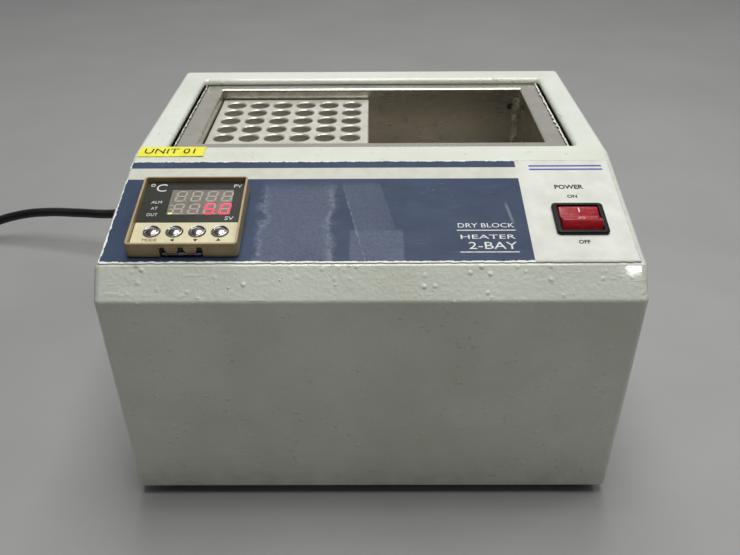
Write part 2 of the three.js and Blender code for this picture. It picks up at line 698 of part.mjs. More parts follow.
const BOARD = { half: 20.4, low: 0.6, high: 2 };
const displayBoard = plate(around(BOARD.half, 0.5), BOARD.low, BOARD.high);
add('controller_display_board', displayBoard, FINISH.board, controller);

const CASE = { half: 22.4, wall: 2, back: -CONTROLLER.depth, slotLow: -45, slotHigh: -20, slotPitch: 6 };

function controllerCase() {
  const body = plate(around(CASE.half, 1), CASE.back, 0);
  const hollow = plate(around(CASE.half - CASE.wall, 1), CASE.back + CASE.wall, 1);
  const slots = slotCentres(5, CASE.slotPitch, 0).map((x) => (
    box(x - 1, x + 1, -CASE.half - 1, CASE.half + 1, CASE.slotLow, CASE.slotHigh)
  ));
  return cut(body, hollow, ...slots);
}

add('controller_case', controllerCase(), FINISH.blackPlastic, controller);

const BRACKET = { width: 4, height: 8, notch: 8, notchDepth: 3 };

// A frame pushed over the case from behind, which holds the controller in its cut-out.
function controllerBracket() {
  const high = -SHEET - GAP;
  const low = high - BRACKET.height;
  const ring = cut(
    plate(around(CASE.half + BRACKET.width, 1.5), low, high),
    plate(around(CASE.half + GAP, 1), low - 1, high + 1),
  );
  const reach = CASE.half + BRACKET.width + 1;
  return cut(ring, box(-BRACKET.notch, BRACKET.notch, -reach, reach, low - 1, low + BRACKET.notchDepth));
}

add('controller_bracket', controllerBracket(), FINISH.keypad, controller);

// Two release tabs on a strip in the notch under the bezel.
function latch() {
  const [y0, y1] = [-half + 0.4, -half + LATCH.depth - GAP];
  const strip = box(LATCH.left + GAP, LATCH.right - GAP, y1 - 0.6, y1, ...LATCH.strip);
  const tabs = LATCH.tabs.map((x) => (
    box(x - LATCH.tabHalf, x + LATCH.tabHalf, y0, y1 - 0.3, LATCH_TAB.low, LATCH_TAB.high)
  ));
  return join(strip, ...tabs);
}

add('controller_latch', latch(), FINISH.keypad, controller);

const TERMINALS = { x: 19, y: 9, height: 9, count: 5, pitch: 7.4, row: 4.6, well: 2.4, wellDepth: 2 };

// A block with two rows of screw wells on its back.
function controllerTerminals() {
  const { x, y, height, count, pitch, row, well, wellDepth } = TERMINALS;
  const top = CASE.back - GAP;
  const bottom = top - height;
  const wells = slotCentres(count, pitch, 0).flatMap((wellX) => [-row, row].map((wellY) => (
    post(well, bottom - 1, bottom + wellDepth, { x: wellX, y: wellY, sides: 8 })
  )));
  return cut(box(-x, x, -y, y, bottom, top), ...wells);
}

add('controller_terminals', controllerTerminals(), FINISH.blackPlastic, controller);

// ---------------------------------------------------------------- power switch

const switchGroup = new THREE.Group();
switchGroup.position.set(SWITCH.x, -SWITCH.down, 0);
panel.add(switchGroup);

// The rocker turns about its pivot. Its ends are arcs about the pivot, and its top is a shallow V.
const ROCKER = { width: 17.8, halfLength: 6.3, rise: 3.9, pivot: -1.5, valley: 15.7, throwAngle: 24, bottom: -7 };
const SWITCH_WELL = { x: 9.2, y: 8.7, floor: -13 };
const SWITCH_BODY = { x: 10.7, y: 9.35, bottom: -19 };
const STUB = { radius: 1.2, length: 0.5 };

function switchFrame() {
  const { x, y, bottom } = SWITCH_BODY;
  const [rimX, rimY] = [SWITCH.width / 2, SWITCH.length / 2];
  const rim = plate(roundedRectangle(-rimX, rimX, -rimY, rimY, 1.5), 0.9, SWITCH.proud);
  const body = box(-x, x, -y, y, bottom, 1.5);
  const hollow = box(-SWITCH_WELL.x, SWITCH_WELL.x, -SWITCH_WELL.y, SWITCH_WELL.y, SWITCH_WELL.floor, 9);
  const bearing = post(STUB.radius + GAP, -20, 20, { sides: 12 }).rotateY(Math.PI / 2);
  return cut(join(rim, body), hollow, bearing.translate(0, 0, ROCKER.pivot));
}

add('switch_frame', switchFrame(), FINISH.blackPlastic, switchGroup);

// The rocker is drawn level, then tilted to rest on its upper half, which is the on position.
function rocker() {
  const { width, halfLength, rise, pivot, valley, throwAngle, bottom } = ROCKER;
  const radius = Math.hypot(halfLength, rise - pivot);
  const corner = Math.atan2(rise - pivot, halfLength);
  const low = Math.asin((bottom - pivot) / radius);
  const steps = 5;
  const front = Array.from({ length: steps + 1 }, (_, i) => {
    const angle = corner + ((low - corner) * i) / steps;
    return [radius * Math.cos(angle), pivot + radius * Math.sin(angle)];
  });
  const back = front.map(([u, v]) => [-u, v]);
  const centre = [0, rise - halfLength * Math.tan(rad(valley))];
  const body = prismX([centre, ...back, ...front.reverse()], -width / 2, width / 2);
  const stubs = post(STUB.radius, -width / 2 - STUB.length, width / 2 + STUB.length, { sides: 12 });
  stubs.rotateY(Math.PI / 2).translate(0, 0, pivot);
  const tilt = rad(throwAngle / 2);
  return join(body, stubs).translate(0, 0, -pivot).rotateX(-tilt).translate(0, 0, pivot);
}

add('switch_rocker', rocker(), FINISH.rocker, switchGroup);

for (const [name, y] of [['line', -5], ['load', 5]]) {
  const top = SWITCH_BODY.bottom - GAP;
  add(`switch_terminal_${name}`, box(-3.15, 3.15, y - 0.4, y + 0.4, top - 8, top), FINISH.brass, switchGroup);
}

// ---------------------------------------------------------------- rear fittings and electrics

const FUSE_PARTS = { flange: 8.5, barrel: 6, bore: 4.6, inner: 32, capRadius: 6.8, stem: 4.2, stemLength: 22 };

function fuseHolder() {
  const { flange, barrel, bore, inner } = FUSE_PARTS;
  const face = BACK_Y + GAP;
  const at = { x: FUSE.x, z: FUSE.z };
  const rim = bar(flange, face, face + 2.4, { ...at, sides: 20 });
  const body = join(rim, bar(barrel, BACK_Y - inner, face + 1, at));
  const nut = bar(8.6, BACK_Y - SHEET - GAP - 3, BACK_Y - SHEET - GAP, { ...at, sides: 6 });
  return cut(join(body, nut), bar(bore, BACK_Y - inner + 4, face + 5, at));
}

add('fuse_holder', fuseHolder(), FINISH.blackPlastic);

function fuseCap() {
  const { capRadius, stem, stemLength } = FUSE_PARTS;
  const [y0, y1] = [BACK_Y + 2.4 + 2 * GAP, BACK_Y + REAR_PROUD];
  const at = { x: FUSE.x, z: FUSE.z };
  const head = bar(capRadius, y0, y1, { ...at, sides: 20 });
  const carrier = bar(stem, y0 - stemLength, y0 + 1, at);
  return cut(join(head, carrier), box(FUSE.x - 9, FUSE.x + 9, y1 - 1.6, y1 + 1, FUSE.z - 0.8, FUSE.z + 0.8));
}

add('fuse_cap', fuseCap(), FINISH.blackPlastic);

function earthStud() {
  const at = { x: EARTH.x, z: EARTH.z };
  const shank = bar(SCREW_RADIUS, BACK_Y - 14, BACK_Y + 9, { ...at, sides: 12 });
  const outerNut = bar(4, BACK_Y + GAP, BACK_Y + GAP + 3.2, { ...at, sides: 6 });
  const innerNut = bar(4, BACK_Y - SHEET - GAP - 3.2, BACK_Y - SHEET - GAP, { ...at, sides: 6 });
  return join(shank, outerNut, innerNut);
}

add('earth_stud', earthStud(), FINISH.brass);

const RELAY = { x: 34, y: 22, width: 45, length: 58, height: 24 };

function relay() {
  const { x, y, width, length, height } = RELAY;
  const bottom = BODY_Z + SHEET + GAP;
  const [left, right] = [x - width / 2, x + width / 2];
  const [near, far] = [y - length / 2, y + length / 2];
  const body = box(left, right, near + 8, far - 8, bottom, bottom + height);
  const ears = box(left, right, near, far, bottom, bottom + 5);
  const wells = [-1, 1].flatMap((sx) => [-1, 1].map((sy) => (
    post(4, bottom + height - 5, bottom + height + 1, { x: x + sx * 13, y: y + sy * 14, sides: 12 })
  )));
  const holes = [-1, 1].map((sy) => post(2.2, 0, 40, { x, y: y + sy * (length / 2 - 4), sides: 12 }));
  return cut(join(body, ears), ...wells, ...holes);
}

add('relay', relay(), FINISH.blackPlastic);

// ---------------------------------------------------------------- mains cord

const RELIEF = { length: 28, flange: 10, base: 6.4, tip: 4.6, inner: 9 };

// A moulded sleeve that is gripped by the rear panel and tapers along the cord.
function strainRelief() {
  const { length, flange, base, tip, inner } = RELIEF;
  const profile = [
    [0, -inner],
    [base, -inner],
    [base, GAP],
    [flange, GAP],
    [flange, 3],
    [base + 0.4, 4],
    [tip, length],
    [0, length],
  ];
  return turned(profile).rotateX(-Math.PI / 2).translate(CORD_EXIT.x, BACK_Y, CORD_EXIT.z);
}

add('strain_relief', strainRelief(), FINISH.blackPlastic);

// The cord leaves backwards, turns left behind the cabinet and sinks to the bench beside its coil.
const cordStart = BACK_Y + RELIEF.length + GAP;
const turn = COIL.mean + COIL.halfWidth - CORD_RADIUS - GAP; // radius of the coil's outer turn
const coilPoint = (radius, angle) => [
  COIL.x + radius * Math.cos(rad(angle)),
  COIL.y + radius * Math.sin(rad(angle)),
];
// Where a line that touches the outer turn at an angle is still clear of the ring by its own half width.
function clearOfRing(angle, halfWidth, direction) {
  const outer = COIL.mean + COIL.halfWidth + GAP;
  const distance = Math.sqrt(outer ** 2 - (turn - halfWidth) ** 2);
  const [x, y] = coilPoint(turn, angle);
  return [x - direction * distance * Math.sin(rad(angle)), y + direction * distance * Math.cos(rad(angle))];
}
const [cordEndX, cordEndY] = clearOfRing(COIL.enters, CORD_RADIUS, -1);

const CORD_ROUTE = [
  [CORD_EXIT.x, cordStart, CORD_EXIT.z],
  [-75.2, 141, 48],
  [-77.5, 149, 47.5],
  [-83, 157.5, 46.6],
  [-94, 163.5, 45.2],
  [-108, 164.5, 43.4],
  [-135, 161.5, 39.8],
  [-165, 158.5, 35.6],
  [-198, 159, 31.2],
  [-225, 165, 29.3],
  [-252, 171.5, 27],
  [-275, 175.5, 22.8],
  [-298, 175.5, 15.6],
  [-314, 171, 8.6],
  [-328, 162.8, 4.3],
  [cordEndX, cordEndY, CORD_RADIUS + 0.1],
];
add('power_cord', sweep(CORD_ROUTE, CORD_RADIUS, { sides: 10 }), FINISH.cord);

function coilRing() {
  const [inner, outer] = [COIL.mean - COIL.halfWidth, COIL.mean + COIL.halfWidth];
  const [low, high, round] = [0.1, COIL.height, 2];
  const ring = [
    [inner, low],
    [outer, low],
    [outer, high - round],
    [outer - round, high],
    [inner + round, high],
    [inner, high - round],
    [inner, low],
  ];
  return turned(ring, 36).translate(COIL.x, COIL.y, 0);
}

add('cord_coil', coilRing(), FINISH.cord);

// The plug lies on the bench, in line with the end of the cord as it leaves the coil.
const plug = new THREE.Group();
const PLUG = { tip: 5, base: 8, boot: 22, halfWidth: 13.5, halfHeight: 12, length: 34, blade: 17, pin: 21 };
const [plugX, plugY] = clearOfRing(COIL.leaves, PLUG.tip, 1);
plug.position.set(plugX, plugY, PLUG.halfHeight + 0.2);
plug.rotation.z = rad(COIL.leaves + 90);
root.add(plug);

// Along +X from the cord: a tapered boot, then the body.
function plugBody() {
  const { tip, base, boot, halfWidth, halfHeight, length } = PLUG;
  const sleeve = turned([[0, 0], [tip, 0], [base, boot], [base, boot + 4], [0, boot + 4]], 16);
  sleeve.rotateY(Math.PI / 2);
  const body = plate(roundedRectangle(-halfHeight, halfHeight, -halfWidth, halfWidth, 5), 0, length);
  body.rotateY(Math.PI / 2).translate(boot, 0, 0);
  return join(sleeve, body);
}

add('plug_body', plugBody(), FINISH.blackPlastic, plug);

const plugFace = PLUG.boot + PLUG.length + GAP;
for (const [name, y] of [['live', -6.35], ['neutral', 6.35]]) {
  const blade = box(plugFace, plugFace + PLUG.blade, y - 0.75, y + 0.75, 0.8, 7.1);
  add(`plug_blade_${name}`, blade, FINISH.brass, plug);
}
const earthPin = post(2.4, 0, PLUG.pin, { sides: 12 }).rotateY(Math.PI / 2).translate(plugFace, 0, -7.2);
add('plug_earth_pin', earthPin, FINISH.brass, plug);

// ---------------------------------------------------------------- inner wiring

const WIRE_RADIUS = 1.1;
const LEAD_IN = 4; // a wire's straight length at a terminal

// A point given on the panel, as X, distance down the slope and height over it, in the cabinet's frame.
function panelPoint(x, down, height) {
  const point = new THREE.Vector3(x, -down, height).applyAxisAngle(new THREE.Vector3(1, 0, 0), rad(SLOPE));
  return [point.x, point.y + BEND_Y, point.z + TOP_Z];
}

const relayTop = BODY_Z + SHEET + GAP + RELAY.height;
const fuseTail = BACK_Y - FUSE_PARTS.inner - GAP;
const switchTail = SWITCH_BODY.bottom - 8 - 2 * GAP;
const heaterUnder = HEATER_TOP - HEATER_THICK - GAP;
const probeEnd = STUD.y - PROBE.halfLength - GAP;

const wires = {
  wire_fuse_to_switch: [
    [FUSE.x, fuseTail, FUSE.z],
    [FUSE.x, fuseTail - LEAD_IN, FUSE.z],
    [FUSE.x + 10, fuseTail - 20, FUSE.z - 6],
    [0, 0, 48],
    [40, -50, 60],
    panelPoint(SWITCH.x, SWITCH.down + 5, switchTail - 22),
    panelPoint(SWITCH.x, SWITCH.down + 5, switchTail - LEAD_IN),
    panelPoint(SWITCH.x, SWITCH.down + 5, switchTail),
  ],
  wire_relay_to_heater: [
    [RELAY.x - 13, RELAY.y + 14, relayTop + GAP],
    [RELAY.x - 13, RELAY.y + 14, relayTop + LEAD_IN],
    [RELAY.x - 20, RELAY.y + 15, relayTop + 12],
    [HEATER_WIRE_AT.x + 4, HEATER_WIRE_AT.y, SHELF_TOP - 18],
    [HEATER_WIRE_AT.x, HEATER_WIRE_AT.y, SHELF_TOP],
    [HEATER_WIRE_AT.x, HEATER_WIRE_AT.y, heaterUnder],
  ],
  wire_probe_to_controller: [
    [PROBE.x, probeEnd, probeZ - 0.4],
    [PROBE.x, probeEnd - 3, probeZ - 0.7],
    [PROBE_WIRE_AT.x, PROBE_WIRE_AT.y, PAD_TOP - 4],
    [PROBE_WIRE_AT.x, PROBE_WIRE_AT.y, SHELF_TOP - 6],
    [0, -20, 54],
    [-50, -50, 56],
    panelPoint(CONTROLLER.x, CONTROLLER.down, -CONTROLLER.depth - 9 - 3 * GAP - 8),
    panelPoint(CONTROLLER.x, CONTROLLER.down, -CONTROLLER.depth - 9 - 3 * GAP),
  ],
};
for (const [name, points] of Object.entries(wires)) {
  add(name, sweep(points, WIRE_RADIUS, { stepLength: 7 }), FINISH.wire);
}

const earthRoute = [
  [CORD_EXIT.x + 2, BACK_Y - RELIEF.inner - GAP, CORD_EXIT.z - 2],
  [CORD_EXIT.x + 2, BACK_Y - RELIEF.inner - LEAD_IN, CORD_EXIT.z - 2],
  [CORD_EXIT.x + 12, BACK_Y - RELIEF.inner - 16, CORD_EXIT.z - 14],
  [-40, BACK_Y - 42, 26],
  [-14, BACK_Y - 30, 28],
  [EARTH.x, BACK_Y - 14 - LEAD_IN, EARTH.z],
  [EARTH.x, BACK_Y - 14 - GAP, EARTH.z],
];
add('wire_earth', sweep(earthRoute, WIRE_RADIUS, { stepLength: 7 }), FINISH.earthWire);

export default root;
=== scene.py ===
"""Looks of a two-bay dry block heater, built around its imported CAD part.

Shapes are drawn in millimetres and written into meshes in metres. Every object sits at the origin.
"""

from functools import partialmethod
import math

import bmesh
import bpy
from mathutils import Matrix, Vector, noise


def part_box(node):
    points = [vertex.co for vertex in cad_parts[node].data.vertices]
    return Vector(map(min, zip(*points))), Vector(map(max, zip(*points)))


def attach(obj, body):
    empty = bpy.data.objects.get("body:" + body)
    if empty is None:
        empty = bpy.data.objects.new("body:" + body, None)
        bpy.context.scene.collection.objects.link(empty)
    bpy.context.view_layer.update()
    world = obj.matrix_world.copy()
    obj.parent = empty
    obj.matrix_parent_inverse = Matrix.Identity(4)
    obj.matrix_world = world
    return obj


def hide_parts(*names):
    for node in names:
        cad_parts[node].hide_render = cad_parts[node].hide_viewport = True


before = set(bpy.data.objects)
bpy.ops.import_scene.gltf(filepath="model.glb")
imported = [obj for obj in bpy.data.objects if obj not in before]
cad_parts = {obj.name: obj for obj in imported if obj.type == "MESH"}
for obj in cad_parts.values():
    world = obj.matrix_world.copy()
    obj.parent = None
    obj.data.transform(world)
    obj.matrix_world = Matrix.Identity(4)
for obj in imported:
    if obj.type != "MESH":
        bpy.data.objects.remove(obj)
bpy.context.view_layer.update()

MM = 0.001


def span(node):
    """Lowest and highest corner of a CAD node."""
    low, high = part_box(node)
    return low / MM, high / MM


# ---------------------------------------------------------------- places

CABINET_LOW, CABINET_HIGH = span("cabinet")
HALF_WIDTH = CABINET_HIGH.x
TOP = CABINET_HIGH.z
FRONT = CABINET_LOW.y
BACK = CABINET_HIGH.y
BOTTOM = CABINET_LOW.z
SHEET = 1.5
GAP = 0.3

SLOPE = math.radians(13)
SLOPE_LENGTH = 83.4
LIP_ANGLE = math.radians(54)
LIP_LENGTH = 15.7
FRONT_LEAN = math.radians(6.8)
BEND_Y = FRONT + LIP_LENGTH * math.cos(LIP_ANGLE) + SLOPE_LENGTH * math.cos(SLOPE)

# The control panel's own frame: X to the right, Y up the slope, Z out of the panel.
PANEL = Matrix.Translation((0, BEND_Y, TOP)) @ Matrix.Rotation(SLOPE, 4, "X")


def plan(low, high):
    """Bounds in X and Y of two corners."""
    return low.x, high.x, low.y, high.y


def panel_span(node):
    """Lowest and highest corner of a CAD node in the panel's frame."""
    to_panel = PANEL.inverted()
    points = [to_panel @ (vertex.co / MM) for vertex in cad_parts[node].data.vertices]
    return Vector(map(min, zip(*points))), Vector(map(max, zip(*points)))


# ---------------------------------------------------------------- camera, light and floor

CAMERA_PLACE = (1.78, -423.3, 313.7)
CAMERA_PITCH = math.radians(59.87)
CAMERA_YAW = math.radians(0.38)
CAMERA_ROLL = math.radians(-0.38)
CAMERA_LENS = 41.35
CAMERA_RISE = -0.0019


def make_camera():
    data = bpy.data.cameras.new("camera")
    data.lens = CAMERA_LENS
    data.shift_y = CAMERA_RISE
    data.clip_start = 0.01
    camera = bpy.data.objects.new("camera", data)
    place = Matrix.Translation(Vector(CAMERA_PLACE) * MM)
    turn = Matrix.Rotation(CAMERA_YAW, 4, "Z") @ Matrix.Rotation(CAMERA_PITCH, 4, "X")
    camera.matrix_world = place @ turn @ Matrix.Rotation(CAMERA_ROLL, 4, "Z")
    bpy.context.scene.collection.objects.link(camera)
    bpy.context.scene.camera = camera


def make_light(name, place, aim, size, power, tint=(1, 1, 1)):
    data = bpy.data.lights.new(name, "AREA")
    data.shape = "RECTANGLE"
    data.size, data.size_y = size
    data.energy = power
    data.color = tint
    light = bpy.data.objects.new(name, data)
    light.location = place
    light.rotation_euler = (Vector(aim) - Vector(place)).to_track_quat("-Z", "Y").to_euler()
    bpy.context.scene.collection.objects.link(light)


def make_world(colour, front, overhead, behind):
    """Soft surroundings: dim in front of the object, brighter overhead and behind it."""
    world = bpy.data.worlds.new("studio")
    world.use_nodes = True
    sky = Nodes(world.node_tree)
    axes = sky.axes(sky.node("ShaderNodeTexCoord").outputs["Generated"])
    shares = [
        sky.fit(axes[axis], low, high, 0, strength, "SMOOTHSTEP")
        for axis, low, high, strength in (("Z", 0.3, 0.95, overhead), ("Y", 0.55, 0.92, behind))
    ]
    strength = sky.plus(sky.plus(*shares), front)
    sky.fill(sky.tree.nodes["Background"], Color=colour, Strength=strength)
    bpy.context.scene.world = world


# ---------------------------------------------------------------- materials

def rgb(code):
    """Linear colour of a web colour code."""
    values = [int(code[i:i + 2], 16) / 255 for i in (1, 3, 5)]
    return tuple(v / 12.92 if v <= 0.04045 else ((v + 0.055) / 1.055) ** 2.4 for v in values)


class Nodes:
    """A node tree under construction."""

    def __init__(self, tree):
        self.tree = tree

    def node(self, kind, **settings):
        made = self.tree.nodes.new(kind)
        for key, value in settings.items():
            setattr(made, key, value)
        return made

    def feed(self, socket, value):
        """Links a socket, or sets it to a number, a linear colour or a web colour code."""
        if isinstance(value, bpy.types.NodeSocket):
            self.tree.links.new(value, socket)
        elif socket.type == "RGBA":
            socket.default_value = (*(rgb(value) if isinstance(value, str) else value), 1)
        else:
            socket.default_value = value

    def fill(self, node, **inputs):
        """Feeds inputs of a node, whose names have underscores here in place of spaces."""
        for key, value in inputs.items():
            self.feed(node.inputs[key.replace("_", " ")], value)

    def fit(self, value, low, high, new_low=0.0, new_high=1.0, blend="LINEAR"):
        """Maps low..high to new_low..new_high, and holds it there outside."""
        made = self.node("ShaderNodeMapRange", interpolation_type=blend)
        self.fill(made, Value=value, From_Min=low, From_Max=high, To_Min=new_low, To_Max=new_high)
        return made.outputs["Result"]

    def reckon(self, operation, a, b):
        made = self.node("ShaderNodeMath", operation=operation)
        self.feed(made.inputs[0], a)
        self.feed(made.inputs[1], b)
        return made.outputs["Value"]

    times = partialmethod(reckon, "MULTIPLY")
    plus = partialmethod(reckon, "ADD")
    minus = partialmethod(reckon, "SUBTRACT")
    higher = partialmethod(reckon, "MAXIMUM")
    lower = partialmethod(reckon, "MINIMUM")

    def mix(self, share, a, b):
        made = self.node("ShaderNodeMix", data_type="RGBA")
        self.feed(made.inputs["Factor"], share)
        colours = [socket for socket in made.inputs if socket.type == "RGBA"]
        self.feed(colours[0], a)
        self.feed(colours[1], b)
        return next(socket for socket in made.outputs if socket.type == "RGBA")

    def axes(self, vector):
        made = self.node("ShaderNodeSeparateXYZ")
        self.fill(made, Vector=vector)
        return made.outputs


LOOKS = {}


class Look(Nodes):
    """The nodes of a material, kept in LOOKS by its name. Sizes of patterns are in millimetres."""

    def __init__(self, name, roughness=0.5, metallic=0.0, **sockets):
        LOOKS[name] = bpy.data.materials.new(name)
        LOOKS[name].use_nodes = True
        super().__init__(LOOKS[name].node_tree)
        self.shader = self.tree.nodes["Principled BSDF"]
        self.fill(self.shader, Roughness=roughness, Metallic=metallic, **sockets)
        self.last_bump = None
        self.position = self.node("ShaderNodeTexCoord").outputs["Object"]

    def placed(self, **mapping):
        """The position, scaled, turned and moved."""
        made = self.node("ShaderNodeMapping")
        self.fill(made, Vector=self.position, **mapping)
        return made.outputs["Vector"]

    def noise(self, size, detail=3.0, roughness=0.55, stretch=None):
        made = self.node("ShaderNodeTexNoise")
        vector = self.placed(Scale=stretch) if stretch else self.position
        self.fill(made, Vector=vector, Scale=1 / (size * MM), Detail=detail, Roughness=roughness)
        return made.outputs["Fac"]

    def cloud(self, size, low, high, new_low=0.0, new_high=1.0, **grain):
        """Noise, mapped from low..high to new_low..new_high."""
        return self.fit(self.noise(size, **grain), low, high, new_low, new_high)

    def cells(self, size):
        made = self.node("ShaderNodeTexVoronoi")
        self.fill(made, Vector=self.position, Scale=1 / (size * MM))
        return made.outputs["Distance"]

    def colour(self, value):
        self.fill(self.shader, Base_Color=value)

    def rough(self, value):
        self.fill(self.shader, Roughness=value)

    def bump(self, height, depth, strength=1.0):
        """Adds relief of the given depth on top of the relief so far."""
        made = self.node("ShaderNodeBump")
        self.fill(made, Strength=strength, Distance=depth * MM, Height=height)
        if self.last_bump:
            self.fill(made, Normal=self.last_bump)
        self.last_bump = made.outputs["Normal"]
        self.fill(self.shader, Normal=self.last_bump)


def speckled(name, base, other, size=6, grain=0.5, depth=0.03, roughness=(0.4, 0.55), **sockets):
    """A plain moulded or coated surface: two close tones, fine grain and uneven gloss."""
    look = Look(name, **sockets)
    look.colour(look.mix(look.cloud(size, 0.35, 0.65, detail=5), base, other))
    look.rough(look.cloud(size * 2, 0.3, 0.7, *roughness, detail=4))
    look.bump(look.noise(grain, detail=2), depth)


def brushed(name, base, other, along, depth=0.01, roughness=(0.25, 0.4), size=18, stained=0.0):
    """Rolled or ground metal with fine lines along one axis, and dried stains."""
    look = Look(name, metallic=1.0)
    stretch = tuple(0.04 if axis == along else 1.0 for axis in "XYZ")
    lines = look.noise(0.25, detail=3, stretch=stretch)
    cloud = look.noise(size, detail=5, roughness=0.6)
    tone = look.mix(look.fit(cloud, 0.35, 0.7), base, other)
    drops = look.cloud(size / 2, 0.58, 0.72, detail=7, roughness=0.7)
    look.colour(look.mix(look.times(drops, stained), tone, "#6f675c"))
    look.rough(look.fit(look.plus(lines, cloud), 0.7, 1.3, *roughness))
    look.bump(lines, depth)
    look.bump(look.noise(22, detail=1), 0.4, 0.2 if stained else 0.1)


def powder_coat():
    """Thick lumpy enamel: orange peel, scattered beads, runs, raised specks painted pale as a painted
    highlight, and darker towards the bottom.
    """
    look = Look("powder_coat", Coat_Weight=0.8, Coat_Roughness=0.05)
    tone = look.mix(look.cloud(45, 0.35, 0.7, detail=6), "#dfe3d6", "#d3d6c6")
    specks = look.cloud(1.1, 0.74, 0.8, detail=1)
    tone = look.mix(look.times(specks, 0.35), tone, "#8d8f82")
    scuffs = look.cloud(5, 0.66, 0.74, detail=7, roughness=0.72, stretch=(0.5, 1, 1.6))
    tone = look.mix(look.times(scuffs, 0.3), tone, "#b4b6a8")
    # Raised specks: the relief is real, and their pale colour is a painted highlight where they catch the
    # light.
    raised_specks_and_highlights = look.fit(look.cells(10), 0.04, 0.07, 1, 0)
    tone = look.mix(look.times(raised_specks_and_highlights, 0.7), tone, "#f4f5ee")
    # Darker towards the bottom, in uneven patches.
    darkening_height = 26
    near_floor = look.fit(look.axes(look.position)[2], BOTTOM * MM, (BOTTOM + darkening_height) * MM, 1, 0)
    bottom_darkening = look.times(near_floor, look.cloud(9, 0.35, 0.75, 0, 0.4, detail=6))
    look.colour(look.mix(bottom_darkening, tone, "#a39f8f"))
    look.rough(look.cloud(14, 0.35, 0.65, 0.34, 0.5, detail=4))
    look.bump(look.noise(9, detail=2), 0.5, 0.6)
    look.bump(look.noise(1.9, detail=2), 0.3, 0.8)
    beads = look.fit(look.cells(4.6), 0.04, 0.3, 1, 0)
    patches = look.cloud(16, 0.46, 0.6, detail=2)
    look.bump(look.times(beads, patches), 0.5, 1)
    look.bump(raised_specks_and_highlights, 0.4, 1)
    ridges = look.cloud(5, 0.63, 0.7, detail=4, stretch=(0.35, 1, 2.2))
    look.bump(ridges, 0.12, 0.6)


# Printed fields of the film: X from the panel's middle, and millimetres down the slope from the fold.
STRIPE_RIGHT, STRIPE_BOTTOM = 69.6, 14.5
FIELD_RIGHT, FIELD_TOP = 69.9, 23.3


